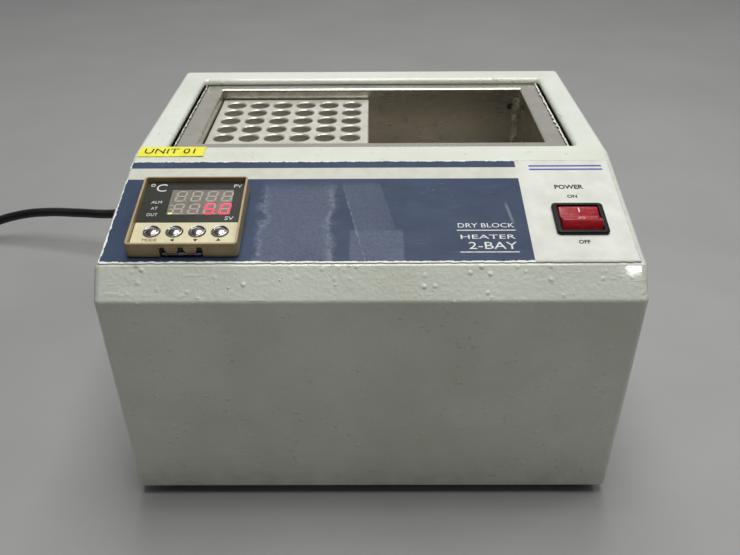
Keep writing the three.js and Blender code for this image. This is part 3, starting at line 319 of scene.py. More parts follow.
def panel_print(film_low, film_high):
    """The printed film: blue fields on off-white, rubbed, faded and chipped white along its edges."""
    look = Look("panel_print", Specular_IOR_Level=0.22, Coat_Weight=0.04, Coat_Roughness=0.35)
    to_panel = PANEL.inverted()
    x, y = look.axes(look.placed(Location=to_panel.translation * MM, Rotation=to_panel.to_euler()))[:2]
    x, s = look.times(x, 1 / MM), look.times(y, -1 / MM)

    def band(value, low, high, soft=0.12):
        return look.times(
            look.fit(value, low - soft, low + soft), look.fit(value, high - soft, high + soft, 1, 0),
        )

    def area(left, right, top, bottom):
        return look.times(band(x, left, right), band(s, top, bottom))

    left, right = film_low.x, film_high.x
    top, bottom = -film_high.y, -film_low.y
    past = 5  # the fields run on past the film's edges
    stripe = area(left - past, STRIPE_RIGHT, top - past, STRIPE_BOTTOM)
    blue = look.higher(stripe, area(left - past, FIELD_RIGHT, FIELD_TOP, bottom + past))

    # Blue ink with fades in slanted strips, as a sheet that was lifted and laid again leaves them.
    ink = look.mix(look.cloud(26, 0.35, 0.7, detail=6), "#2f3c54", "#38465f")
    wave = look.times(look.minus(look.noise(15, detail=3), 0.5), 13)
    wavy, slanted = look.plus(x, wave), look.plus(x, look.times(s, -0.2))
    frost = look.cloud(1.1, 0.36, 0.66, 0.2, 1, detail=7, roughness=0.8)
    worn = look.times(band(wavy, -49.5, -16.5, 0.6), look.fit(s, 24, 33))
    laid = look.times(band(slanted, -18.8, -1, 0.25), look.fit(s, 26, 29))
    low_band = band(look.plus(x, look.times(wave, 0.1)), -9, 14.3, 0.4)
    low_patch = look.times(low_band, look.fit(s, 60.5, 61.8))
    laid = look.times(laid, look.fit(x, 0, 15, 1, 0.35))
    strips = look.higher(worn, look.higher(look.times(laid, 0.7), low_patch))
    ink = look.mix(look.times(look.times(strips, frost), 0.34), ink, "#8d93a4")
    rims = look.higher(band(wavy, -51, -48, 1.6), band(wavy, -19, -16, 2.0))
    rims = look.times(look.higher(rims, band(slanted, -19.1, -18.4, 0.2)), look.fit(s, 27, 34))
    edges = look.times(rims, look.cloud(3, 0.42, 0.7, detail=6, roughness=0.7))
    ink = look.mix(look.times(edges, 0.5), ink, "#a4a8ae")
    streak = look.times(band(look.plus(x, look.times(s, -0.14)), 55.2, 56.2, 0.5), band(s, 43, 56, 2))
    scuffed = area(19, 38, 27, 39)
    scuffs = look.times(scuffed, look.cloud(2.6, 0.6, 0.66, detail=6, roughness=0.8, stretch=(0.6, 1, 1)))
    ink = look.mix(look.higher(look.times(streak, 0.35), look.times(scuffs, 0.6)), ink, "#aeb4b8")
    lines = look.cloud(7, 0.56, 0.72, detail=8, roughness=0.8, stretch=(0.25, 1, 1))
    ink = look.mix(look.times(lines, 0.2), ink, "#7d869c")
    flecks = look.cloud(3.2, 0.74, 0.77, detail=5, roughness=0.7, stretch=(0.7, 1, 1))
    ink = look.mix(look.times(flecks, 0.6), ink, "#c9cdc6")

    white = look.mix(look.cloud(12, 0.35, 0.72, detail=6), "#dfe1d8", "#cdcec3")
    dirt = look.cloud(1.6, 0.62, 0.75, detail=6, roughness=0.7)
    white = look.mix(look.times(dirt, 0.5), white, "#a5a598")
    handled = look.times(look.fit(x, 60, 75, 1, 0), look.cloud(5, 0.3, 0.7, 0.4, 1, detail=6))
    white = look.mix(handled, white, "#c6c7ba")

    # White film shows where the ink has flaked off along the edges.
    inside = look.lower(look.minus(x, left), look.minus(right, x))
    along = look.lower(look.minus(s, top), look.minus(bottom, s))
    ragged = look.cloud(2.6, 0.3, 0.75, 0.0, 1.1, detail=6, roughness=0.65)
    flaked = look.fit(look.minus(look.lower(inside, along), ragged), -0.1, 0.15, 1, 0)
    ink = look.mix(flaked, ink, "#eceee6")
    border = look.fit(look.minus(look.lower(inside, along), look.times(ragged, 0.4)), 0, 0.25, 1, 0)
    white = look.mix(look.times(border, 0.55), white, "#8f8e80")
    look.colour(look.mix(blue, white, ink))
    look.rough(look.cloud(8, 0.3, 0.7, 0.34, 0.58, detail=6))
    look.bump(look.noise(0.6, detail=2), 0.02)
    look.bump(look.noise(14, detail=3), 0.25, 0.4)
    look.bump(flaked, -0.12)


def machined(name, base, other, roughness=(0.3, 0.45)):
    """Fly-cut aluminium: arcs of fine tool marks, handling marks and dull patches, and painted shade just
    inside the bores.
    """
    look = Look(name, metallic=0.55)
    rings = look.node("ShaderNodeTexWave", wave_type="RINGS", rings_direction="Z")
    look.fill(rings, Vector=look.position, Scale=520, Distortion=1.5)
    cloud = look.noise(11, detail=6, roughness=0.65)
    face = look.mix(look.fit(cloud, 0.4, 0.72), base, other)
    top = span("tube_block")[1].z * MM
    # Painted shade inside the bores: darkest just below the mouth and fading out about 4.8 mm down; the bore
    # walls are also rougher.
    depth = look.fit(look.axes(look.position)[2], top - 0.0048, top - 0.001, 1, 0)
    bore_wall_rough_and_shade = look.fit(look.axes(look.position)[2], top - 0.0012, top - 0.0009, 1, 0)
    look.colour(look.mix(look.times(bore_wall_rough_and_shade, look.fit(depth, 0, 1, 0.35, 0.0)), face, "#4b463c"))
    look.rough(look.plus(look.cloud(6, 0.35, 0.65, *roughness, detail=5), look.times(bore_wall_rough_and_shade, 0.2)))
    look.bump(rings.outputs["Fac"], 0.004)
    look.bump(look.noise(0.5, detail=3), 0.008)
    nicks = look.fit(look.cells(7), 0.02, 0.06, 1, 0)
    look.bump(nicks, -0.06)


def rocker_red():
    """Clear red moulding, with milky scuffs on its faces and worn edges, and a faint painted glow for light
    shining through it.
    """
    look = Look("rocker_red", Coat_Weight=0.4, Coat_Roughness=0.1, IOR=1.49)
    deep = look.mix(look.cloud(4, 0.4, 0.65, detail=3), "#8a0f17", "#9e1b24")
    haze = look.cloud(2.4, 0.5, 0.74, detail=7, roughness=0.7, stretch=(0.5, 1, 1))
    look.colour(look.mix(look.times(haze, 0.35), deep, "#b85560"))
    look.rough(look.fit(haze, 0, 1, 0.12, 0.4))
    # Painted glow: a faint emission in the red's own tone stands in for light shining through the clear
    # plastic.
    look.fill(look.shader, Emission_Color=deep, Emission_Strength=0.11)
    look.bump(look.noise(1.2, detail=4, stretch=(0.4, 1, 1)), 0.05, 0.6)


def glow(name, code, strength):
    """A lit segment or lamp behind a diffuser, its tone varying a little at random."""
    look = Look(name, roughness=0.3)
    dim = tuple(0.75 * v for v in rgb(code))
    tone = look.mix(look.cloud(0.8, 0.35, 0.65, detail=2), code, dim)
    look.colour(tone)
    look.fill(look.shader, Emission_Color=tone, Emission_Strength=strength)


def foil():
    """Crumpled aluminium foil over glass wool."""
    look = Look("foil", roughness=0.22, metallic=1.0)
    look.colour(look.mix(look.cloud(8, 0.4, 0.7, detail=5), "#b9b8b2", "#77736a"))
    look.bump(look.cells(3.2), 0.8, 0.8)
    look.bump(look.noise(1.5, detail=4), 0.3, 0.7)


def display_face():
    """The grey diffuser behind the smoked window, with a faint vertical grain."""
    look = Look("display_face", Coat_Weight=0.6, Coat_Roughness=0.08)
    look.colour(look.mix(look.cloud(3, 0.35, 0.65, detail=4, stretch=(1, 0.3, 0.3)), "#6f6963", "#7f7971"))
    look.rough(look.cloud(5, 0.35, 0.65, 0.3, 0.45))
    look.bump(look.noise(0.5), 0.01)


def floor_look():
    look = Look("pale_floor", roughness=0.6)
    look.colour(look.mix(look.cloud(120, 0.3, 0.7, detail=4), "#a0a09e", "#999997"))
    look.bump(look.noise(3), 0.02)


def make_looks():
    powder_coat()
    speckled("sheet_steel", "#9b9c9a", "#86878a", depth=0.02, roughness=(0.28, 0.42), metallic=1.0)
    brushed("zinc", "#b6b7b5", "#97979a", "X", size=5)
    brushed("well_steel", "#c3beb4", "#b6b0a4", "X", 0.0012, (0.24, 0.34), stained=0.3)
    machined("block", "#e0ddd2", "#cdc8ba")
    foil()
    # Pale cream for the painted highlight strips along the well flange's edges.
    speckled("edge_highlight_cream", "#e6e3d6", "#c8c4b4", size=2, grain=0.6, depth=0.08, roughness=(0.3, 0.5))
    speckled("wool", "#d9d3bd", "#c2bba2", size=4, grain=0.8, depth=0.6, roughness=(0.85, 0.95))
    speckled("silicone", "#a8442c", "#8f3a26", grain=0.7, depth=0.05, roughness=(0.6, 0.75))
    speckled("rubber", "#1b1b1b", "#262524", grain=0.6, depth=0.05, roughness=(0.65, 0.85))
    speckled(
        "bezel", "#b59f73", "#a69068", size=9, grain=0.45, depth=0.035, roughness=(0.34, 0.5),
        Coat_Weight=0.2, Coat_Roughness=0.3,
    )
    speckled("tab", "#cdb78c", "#bfa97e", size=5, grain=0.4, depth=0.02, roughness=(0.32, 0.45))
    speckled("keypad", "#ddd6b2", "#d2caa4", size=8, grain=0.4, depth=0.012, roughness=(0.35, 0.5))
    speckled(
        "window", "#32322d", "#353530", size=14, grain=1.5, depth=0.004, roughness=(0.2, 0.27),
        Coat_Weight=0.2, Coat_Roughness=0.1,
    )
    display_face()
    speckled("segment", "#b8ad9f", "#aca194", size=2, depth=0.004, roughness=(0.35, 0.45))
    glow("lit", "#ff2f4e", 1.6)
    glow("lamp", "#dfff5a", 1.3)
    speckled("board", "#1f4a2c", "#26552f", size=3, depth=0.03, roughness=(0.35, 0.5))
    brushed("key", "#c4c4c2", "#8f8e8b", "X", depth=0.006, roughness=(0.1, 0.24), size=2)
    speckled("black", "#161617", "#212121", grain=0.4, depth=0.03, roughness=(0.35, 0.5))
    speckled(
        "switch_black", "#070707", "#0d0d0d", grain=0.4, depth=0.02, roughness=(0.3, 0.42),
        Specular_IOR_Level=0.25,
    )
    speckled("relay_case", "#2b2d33", "#24262b", grain=0.6, depth=0.03)
    rocker_red()
    brushed("brass", "#b59a55", "#9c8146", "Z", size=4)
    brushed("copper", "#b87a55", "#a0673f", "Y", size=4)
    speckled("cord", "#0f0f10", "#191919", size=12, grain=0.5, depth=0.03, roughness=(0.38, 0.55))
    speckled("red_wire", "#8d2320", "#7a1d1b", depth=0.02, roughness=(0.35, 0.5))
    speckled("green_wire", "#4f8f3a", "#b8b040", size=3, depth=0.02, roughness=(0.35, 0.5))
    speckled("tape", "#f6ef3a", "#eae232", size=7, grain=0.9, depth=0.03, roughness=(0.4, 0.6))
    speckled("ink_black", "#17171a", "#2a2a2c", size=1.5, depth=0.004, roughness=(0.5, 0.65))
    speckled("ink_white", "#e9eae4", "#c9cbc6", size=1.5, depth=0.004, roughness=(0.45, 0.6))
    speckled("ink_blue", "#3b4696", "#4a55a2", size=1.5, depth=0.004, roughness=(0.45, 0.6))
    floor_look()


# ---------------------------------------------------------------- shapes

class Shape:
    """Points in millimetres, with faces over them."""

    def __init__(self, points=(), faces=()):
        self.points = [Vector(point) for point in points]
        self.faces = list(faces)

    def __add__(self, other):
        start = len(self.points)
        moved_faces = [tuple(start + i for i in face) for face in other.faces]
        return Shape(self.points + other.points, self.faces + moved_faces)

    def moved(self, matrix):
        return Shape([matrix @ point for point in self.points], self.faces)

    def shifted(self, x=0.0, y=0.0, z=0.0):
        return self.moved(Matrix.Translation((x, y, z)))


def together(shapes):
    return sum(shapes, Shape())


def loft(rings, closed=False):
    """A skin over rings with equal numbers of points. Unless it closes on itself, both ends get a cap."""
    count = len(rings[0])
    faces = []
    for i in range(len(rings) if closed else len(rings) - 1):
        a, b = i * count, (i + 1) % len(rings) * count
        faces += [(a + j, a + (j + 1) % count, b + (j + 1) % count, b + j) for j in range(count)]
    if not closed:
        faces.append(tuple(reversed(range(count))))
        faces.append(tuple(range((len(rings) - 1) * count, len(rings) * count)))
    return Shape([point for ring in rings for point in ring], faces)


def arc(centre, radius, start, end, steps):
    """Points on an arc, with its angles in degrees."""
    angles = [math.radians(start + (end - start) * i / steps) for i in range(steps + 1)]
    return [(centre[0] + radius * math.cos(a), centre[1] + radius * math.sin(a)) for a in angles]


def quarter(steps):
    """Angles from 0 to 90 degrees."""
    return [math.pi / 2 * i / steps for i in range(steps + 1)]


def polygon(radius, sides, turn=0.0):
    return [
        (radius * math.cos(a), radius * math.sin(a))
        for a in (turn + 2 * math.pi * i / sides for i in range(sides))
    ]


def rounded(x0, x1, y0, y1, radius, steps=5):
    """A rectangle with round corners, counter-clockwise."""
    r = max(min(radius, (x1 - x0) / 2 - 0.01, (y1 - y0) / 2 - 0.01), 0.01)
    corners = ((x1 - r, y1 - r, 0), (x0 + r, y1 - r, 90), (x0 + r, y0 + r, 180), (x1 - r, y0 + r, 270))
    return [point for x, y, start in corners for point in arc((x, y), r, start, start + 90, steps)]


def stack(bounds, radius, levels, steps=5, closed=False):
    """Rounded rectangles piled up. Each level is how far it grows past the bounds, and its height."""
    x0, x1, y0, y1 = bounds
    rings = []
    for grow, z in levels:
        outline = rounded(x0 - grow, x1 + grow, y0 - grow, y1 + grow, max(radius + grow, 0.05), steps)
        rings.append([(x, y, z) for x, y in outline])
    return loft(rings, closed)


def soft_levels(z0, z1, edge, steps=3):
    """Levels of a slab whose upper and lower edges are rounded."""
    low = [(x - edge, z + z0 + edge) for x, z in arc((0, 0), edge, -90, 0, steps)]
    high = [(x - edge, z + z1 - edge) for x, z in arc((0, 0), edge, 0, 90, steps)]
    return low + high


def soft_box(bounds, z0, z1, edge=0.4, corner=None, steps=3):
    """A block with all its edges rounded."""
    return stack(
        bounds, edge if corner is None else corner, soft_levels(z0, z1, edge, steps), steps=max(steps, 3),
    )


def lathe(profile, sides=40, closed=False):
    """A turned piece about Z from radius and height pairs."""
    return loft([[(x, y, z) for x, y in polygon(max(r, 0.01), sides)] for r, z in profile], closed)


def prism(outline, z0, z1):
    return loft([[(x, y, z0) for x, y in outline], [(x, y, z1) for x, y in outline]])


def cylinder(radius, z0, z1, sides=32):
    return lathe([(radius, z0), (radius, z1)], sides)


ALONG_X = Matrix.Rotation(math.pi / 2, 4, "Y")
BACKWARDS = Matrix.Rotation(-math.pi / 2, 4, "X")  # turns +Z to +Y


def middle_of(node):
    low, high = span(node)
    return (low + high) / 2


def rear_place(node):
    """Turns +Z backwards and lays z = 0 on the rear panel, at the middle of a node."""
    at = middle_of(node)
    return Matrix.Translation((at.x, BACK, at.z)) @ BACKWARDS


def lettering(words, centre, width, height, z, thick=0.05, bold=0.0):
    """Plain letters, fitted to a width and height about a centre."""
    curve = bpy.data.curves.new("letters", "FONT")
    curve.body = words
    curve.offset = bold
    curve.extrude = 0.1
    curve.resolution_u = 3
    holder = bpy.data.objects.new("letters", curve)
    bpy.context.scene.collection.objects.link(holder)
    bpy.context.view_layer.update()
    mesh = bpy.data.meshes.new_from_object(holder)
    points = [vertex.co.copy() for vertex in mesh.vertices]
    faces = [tuple(polygon.vertices) for polygon in mesh.polygons]
    bpy.data.objects.remove(holder)
    low, high = Vector(map(min, zip(*points))), Vector(map(max, zip(*points)))
    scale = Vector((width, height, thick))
    middle = Vector((*centre, z + thick / 2))
    return Shape([
        middle + Vector(((p[i] - (low[i] + high[i]) / 2) / (high[i] - low[i]) * scale[i] for i in range(3)))
        for p in points
    ], faces)


# ---------------------------------------------------------------- making pieces

def new_object(name, shape):
    mesh = bpy.data.meshes.new(name)
    mesh.from_pydata([point * MM for point in shape.points], [], shape.faces)
    work = bmesh.new()
    work.from_mesh(mesh)
    bmesh.ops.remove_doubles(work, verts=work.verts, dist=1e-7)
    bmesh.ops.recalc_face_normals(work, faces=work.faces)
    work.to_mesh(mesh)
    work.free()
    made = bpy.data.objects.new(name, mesh)
    bpy.context.scene.collection.objects.link(made)
    return made


def combine(target, shape, operation):
    """Cuts a shape out of an object, or joins it on."""
    tool = new_object("tool", shape)
    modifier = target.modifiers.new("combine", "BOOLEAN")
    modifier.operation = operation
    modifier.solver = "EXACT"
    modifier.object = tool
    graph = bpy.context.evaluated_depsgraph_get()
    target.data = bpy.data.meshes.new_from_object(target.evaluated_get(graph))
    target.modifiers.clear()
    bpy.data.objects.remove(tool)


def piece(
    name, shape, look, body="base", replaces=(), place=Matrix(), hollow=(), join=(), cut=(), smooth=40,
):
    """Makes one finished piece at its place: hollowed out, then joined with extras, then cut."""
    made = new_object(name, shape.moved(place))
    for extras, operation in ((hollow, "DIFFERENCE"), (join, "UNION"), (cut, "DIFFERENCE")):
        for extra in extras:
            combine(made, extra.moved(place), operation)
    made.data.materials.clear()
    made.data.materials.append(LOOKS[look])
    made.data.shade_smooth()
    made.data.set_sharp_from_angle(angle=math.radians(smooth))
    modifier = made.modifiers.new("even_normals", "WEIGHTED_NORMAL")
    modifier.keep_sharp = True
    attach(made, body)
    if replaces:
        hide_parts(*replaces)
    return made


# ---------------------------------------------------------------- mains cord

CORD_RADIUS = 0.0034
CORD_ROUTE = [
    (-0.075, 0.13605, 0.048),
    (-0.0752, 0.141, 0.048),
    (-0.0775, 0.149, 0.0475),
    (-0.083, 0.1575, 0.0466),
    (-0.094, 0.1635, 0.0452),
    (-0.108, 0.1645, 0.0434),
    (-0.135, 0.1615, 0.0398),
    (-0.165, 0.1585, 0.0356),
    (-0.198, 0.159, 0.0312),
    (-0.225, 0.165, 0.0293),
    (-0.252, 0.1712, 0.027),
    (-0.275, 0.1749, 0.023),
    (-0.298, 0.1749, 0.0161),
    (-0.314, 0.1706, 0.0093),
    (-0.328, 0.1626, 0.0049),
]
COIL_TURNS = 5.2
COIL_ENTERS = math.radians(135)
COIL_CLIMB = (2.3, 2.8)  # the turns between which the cord climbs to the upper layer
POINTS_PER_TURN = 20
PLUG_HEADING = COIL_ENTERS + 2 * math.pi * COIL_TURNS + math.pi / 2


def coil_points():
    """The cord winds inwards along the bench, climbs, and winds outwards on top of itself."""
    low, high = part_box("cord_coil")
    centre = (low + high) / 2
    pitch = 2 * CORD_RADIUS
    outer = (high.x - low.x) / 2 - CORD_RADIUS - GAP * MM
    halfway = COIL_TURNS / 2
    inner = outer - pitch * (halfway - 0.1)
    bottom = low.z + CORD_RADIUS
    count = round(COIL_TURNS * POINTS_PER_TURN)
    points = []
    for i in range(count + 1):
        turn = COIL_TURNS * i / count
        radius = inner + pitch * max(abs(turn - halfway) - 0.1, 0)
        share = min(max((turn - COIL_CLIMB[0]) / (COIL_CLIMB[1] - COIL_CLIMB[0]), 0), 1)
        height = bottom + pitch * share * share * (3 - 2 * share)
        angle = COIL_ENTERS + 2 * math.pi * turn
        points.append(
            Vector((centre.x + radius * math.cos(angle), centre.y + radius * math.sin(angle), height))
        )
    return points


def plug_frame():
    """The plug's own frame: X from the cord to the blades."""
    low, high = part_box("plug_body")
    to_plug = Matrix.Rotation(-PLUG_HEADING, 4, "Z")
    points = [to_plug @ vertex.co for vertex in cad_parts["plug_body"].data.vertices]
    start = min(point.x for point in points)
    middle = (min(p.y for p in points) + max(p.y for p in points)) / 2
    return to_plug.inverted() @ Matrix.Translation((start, middle, (low.z + high.z) / 2))


def make_cord(relief, plug_pieces):
    exit_place = Vector((CORD_ROUTE[0][0], BACK * MM, CORD_ROUTE[0][2]))
    hidden = [exit_place + Vector((0, y, 0)) for y in (0.004, 0.016)]
    plug = plug_frame()
    into_plug = [plug @ Vector((x, 0, 0)) for x in (-0.004, 0.006)]
    points = hidden + [Vector(p) for p in CORD_ROUTE] + coil_points() + into_plug
    curve = bpy.data.curves.new("power_lead", "CURVE")
    curve.dimensions = "3D"
    curve.bevel_depth = CORD_RADIUS
    curve.bevel_resolution = 5
    curve.resolution_u = 6
    spline = curve.splines.new("BEZIER")
    spline.bezier_points.add(len(points) - 1)
    for knot, point in zip(spline.bezier_points, points):
        knot.co = point
        knot.handle_left_type = knot.handle_right_type = "AUTO"
    lead = bpy.data.objects.new("power_lead", curve)
    bpy.context.scene.collection.objects.link(lead)
    curve.materials.append(LOOKS["cord"])
    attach(lead, "base")
    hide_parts("power_cord", "cord_coil")
    bpy.context.view_layer.update()


def strain_relief():
    """A ribbed sleeve that tapers along the cord, with the grip that snaps into the rear panel."""
    low, high = span("strain_relief")
    flange = (high.x - low.x) / 2
    length = high.y - BACK
    inner = BACK - low.y
    base, tip, bore = 6.4, 4.6, CORD_RADIUS / MM + 0.15
    profile = [(bore, -inner), (base - 0.6, -inner), (base, -inner + 0.8), (base, GAP), (flange - 0.5, GAP)]
    profile += arc((flange - 0.6, GAP + 0.9), 0.6, -60, 60, 4)
    profile += [(flange - 0.6, GAP + 2.4), (base + 0.8, 3.2)]
    ribs = 6
    pitch = (length - 6) / ribs
    for i in range(ribs):
        y = 4 + i * pitch
        radius = base + 0.4 + (tip - base - 0.4) * (y - 4) / (length - 4)
        profile += [
            (radius, y), (radius, y + pitch * 0.55), (radius - 0.9, y + pitch * 0.65),
            (radius - 0.9, y + pitch * 0.9),
        ]
    profile += [(tip, length - 1.6), (tip - 0.3, length - 0.4), (bore, length)]
    shape = lathe(profile, 36, closed=True)
    return piece(
        "cord_strain_relief", shape, "black", replaces=["strain_relief"],
        place=rear_place("strain_relief"), smooth=30,
    )


def plug():
    """A moulded three-pin plug: ribbed boot, grip sides and a flat front."""
    turn = plug_frame()
    matrix = Matrix.Translation(turn.translation / MM) @ turn.to_3x3().to_4x4()
    boot, length, half_width, half_height = 22, 34, 13.5, 12
    stations = [(0, 4.2), (0.4, 5.0), (3, 5.25)]
    for i in range(5):
        x = 3.6 + i * 3.6
        radius = 5.3 + 2.6 * x / boot
        stations += [
            (x, radius - 0.8), (x + 1.1, radius - 0.8), (x + 1.3, radius + 0.1), (x + 3.2, radius + 0.1),
        ]
    sections = [(x, radius, radius, radius) for x, radius in stations]
    waist = 0.93
    body = [(0.0, 0.82), (1.2, 0.94), (4, 1.0), (9, 0.985), (14, waist), (22, waist)]
    body += [(27, 0.985), (32.6, 1.0), (33.6, 0.985), (length, 0.95)]
    for x, share in body:
        sections.append((boot + x, half_width * share, half_height * (0.6 + 0.4 * share), 5 * share))
    rings = []
    for x, width, height, corner in sections:
        rings.append([(x, a, b) for a, b in rounded(-width, width, -height, height, corner, 8)])
    grips = Shape()
    for x in (boot + 14.5 + 2 * i for i in range(4)):
        for side in (-half_width * waist, half_width * waist):
            grips += soft_box((x, x + 0.8, side - 0.5, side + 0.5), -7, 7, 0.25)
    shell = piece(
        "plug_shell", loft(rings), "black", replaces=["plug_body"], place=matrix,
        cut=[grips], smooth=30,
    )
    pieces = [shell]
    face = boot + length + GAP
    for name, y in (("live", -6.35), ("neutral", 6.35)):
        blade = stack((face + 0.3, face + 17, y - 0.75, y + 0.75), 0.3, soft_levels(0.8, 7.1, 0.3))
        hole = cylinder(1.5, -3, 3, 20).moved(Matrix.Translation((face + 14, y, 3.95)) @ BACKWARDS)
        pieces.append(piece(
            f"plug_{name}_blade", blade, "brass", replaces=[f"plug_blade_{name}"], place=matrix,
            cut=[hole],
        ))
    pin = lathe([(2.4, 0.3), (2.4, 17.5), (2.1, 19.5), (1.4, 20.6), (0.4, 21)], 28)
    pin_place = matrix @ Matrix.Translation((face, 0, -7.2)) @ ALONG_X
    pieces.append(piece(
        "plug_ground_pin", pin, "brass", replaces=["plug_earth_pin"], place=pin_place, smooth=60,
    ))
    return pieces


# ---------------------------------------------------------------- cabinet

def mean_normal(before, corner, after):
    """The inward bisector of a corner, and the angle that the outline turns by there."""
    a, b = (corner - before).normalized(), (after - corner).normalized()
    normals = Vector((-a.y, a.x)), Vector((-b.y, b.x))
    turn = math.atan2(a.x * b.y - a.y * b.x, a.dot(b))
    return (normals[0] + normals[1]).normalized(), turn, normals[0]


def neighbours(corners):
    return zip(corners[-1:] + corners[:-1], corners, corners[1:] + corners[:1])


def inset(corners, distance):
    """A counter-clockwise outline, moved inwards."""
    moved = []
    for before, corner, after in neighbours(corners):
        bisector, turn, _ = mean_normal(before, corner, after)
        moved.append(corner + bisector * distance / math.cos(turn / 2))
    return moved


def round_corners(corners, radii, steps=5):
    """Replaces each corner that has a radius by an arc."""
    outline = []
    for (before, corner, after), radius in zip(neighbours(corners), radii):
        if radius is None:
            outline.append(tuple(corner))
            continue
        bisector, turn, normal = mean_normal(before, corner, after)
        side = 1 if turn > 0 else -1
        centre = corner + bisector * side * radius / math.cos(turn / 2)
        start = math.degrees(math.atan2(-side * normal.y, -side * normal.x))
        outline += arc(centre, radius, start, start + math.degrees(turn), steps)
    return outline


def round_ended(corners, radii, x0, x1, edge, steps=4, corner_steps=5):
    """An outline in Y and Z drawn out along X, with the rims of both ends rounded."""
    stations = [(x0 + edge * (1 - math.cos(a)), edge * (1 - math.sin(a))) for a in quarter(steps)]
    stations += [(x0 + x1 - x, inward) for x, inward in reversed(stations)]
    rings = []
    for x, inward in stations:
        smaller = [r if r is None else max(r - inward, 0.15) for r in radii]
        outline = round_corners(inset(corners, inward), smaller, corner_steps)
        rings.append([(x, y, z) for y, z in outline])
    return loft(rings)


LIP_TOP = Vector((FRONT + LIP_LENGTH * math.cos(LIP_ANGLE), TOP - SLOPE_LENGTH * math.sin(SLOPE)))
LIP_BOTTOM = Vector((FRONT, LIP_TOP.y - LIP_LENGTH * math.sin(LIP_ANGLE)))
TOE = Vector((FRONT + (LIP_BOTTOM.y - BOTTOM) * math.tan(FRONT_LEAN), BOTTOM))
SIDE_VIEW = [TOE, Vector((BACK, BOTTOM)), Vector((BACK, TOP)), Vector((BEND_Y, TOP)), LIP_TOP, LIP_BOTTOM]
SIDE_RADII = [2.4, 1.2, 2.2, 6, 1.8, 2.6]
EDGE_RADIUS = 3.4

OPENING = (-103, 103, FRONT + 98.8, FRONT + 209.5)
OPENING_RIM = 2.6
COLLAR_DROP = 3.2
SCREW_HOLE = 2.4
REAR_HOLE = 2.1
FLOOR_FLANGE, REAR_FLANGE = 20, 14
VENT_PITCH = 9
UPRIGHT = Matrix(((1, 0, 0, 0), (0, 0, 1, 0), (0, 1, 0, 0), (0, 0, 0, 1)))  # swaps Y and Z


def grown(bounds, amount):
    x0, x1, y0, y1 = bounds
    return (x0 - amount, x1 + amount, y0 - amount, y1 + amount)


def frame_plate(bounds, width, z0, z1, corner=2):
    """A flat frame of the given width inside its bounds."""
    inner = grown(bounds, -width)
    rings = [(bounds, z0), (bounds, z1), (inner, z1), (inner, z0)]
    return loft([[(x, y, z) for x, y in rounded(*b, corner)] for b, z in rings], closed=True)


FOOT_NODES = [f"foot_{end}_{side}" for end in ("front", "rear") for side in ("left", "right")]
REAR_SCREW_NODES = [
    f"rear_screw_{level}_{side}" for level in ("lower", "upper") for side in ("left", "right")
]


def panel_cutter(node, spare):
    """A hole through the panel under a fitting, in the panel's frame."""
    low, high = panel_span(node)
    bounds = grown(plan(low, high), -spare)
    return stack(bounds, 1, [(0, -6), (0, 6)])


def panel_holes():
    return [panel_cutter("controller_bezel", 1.2), panel_cutter("switch_frame", 0.6)]


def cabinet():
    """Folded sheet with all its corners rounded, open below and behind, with flanges turned in."""
    shell = round_ended(SIDE_VIEW, SIDE_RADII, -HALF_WIDTH, HALF_WIDTH, EDGE_RADIUS)
    inner = inset(SIDE_VIEW, SHEET)
    inner[0] = Vector((inner[0].x + 3 * math.tan(FRONT_LEAN), BOTTOM - 2))
    inner[1] = Vector((BACK + 2, BOTTOM - 2))
    inner[2] = Vector((BACK + 2, TOP - SHEET))
    hollow_half = HALF_WIDTH - SHEET
    hollow = loft([[(x, y, z) for y, z in inner] for x in (-hollow_half, hollow_half)])
    collar = stack(OPENING, 3, [(SHEET, TOP - COLLAR_DROP), (SHEET, TOP - SHEET / 2)])
    flange_half, flange_z, flange_back = HALF_WIDTH - 0.8, BOTTOM + SHEET + GAP, BACK - SHEET - GAP
    floor_bounds = (-flange_half, flange_half, TOE.x + 1, flange_back)
    floor_flange = frame_plate(floor_bounds, FLOOR_FLANGE, flange_z, flange_z + SHEET)
    rear_bounds = (-flange_half, flange_half, flange_z + 0.4, TOP - 0.8)
    rear_flange = frame_plate(rear_bounds, REAR_FLANGE, flange_back - SHEET, flange_back).moved(UPRIGHT)
    rim = arc((OPENING_RIM, TOP - OPENING_RIM), OPENING_RIM, 180, 90, 6)
    levels = [(0, TOP - 20), *rim[:-1], (OPENING_RIM, TOP + 0.02), (OPENING_RIM, TOP + 3)]
    mouth = stack(OPENING, 3, levels, steps=8)
    holes = foot_holes()
    for node in REAR_SCREW_NODES:
        holes += cylinder(REAR_HOLE, -12, -0.5, 20).moved(rear_place(node))
    fittings = [hole.moved(PANEL) for hole in panel_holes()]
    piece(
        "cabinet_shell", shell, "powder_coat", replaces=["cabinet"], hollow=[hollow],
        join=[collar, floor_flange, rear_flange], cut=[mouth, *fittings, holes], smooth=50,
    )


def vents(first, count, y0, y1, z0, z1):
    """A row of slots with round ends along X, cut from z0 to z1."""
    half = 1.5
    places = [first + VENT_PITCH * i for i in range(count)]
    return together(stack((x - half, x + half, y0, y1), half, [(0, z0), (0, z1)]) for x in places)


def foot_holes():
    return together(cylinder(SCREW_HOLE, 0, 20, 20).shifted(*middle_of(node).xy) for node in FOOT_NODES)


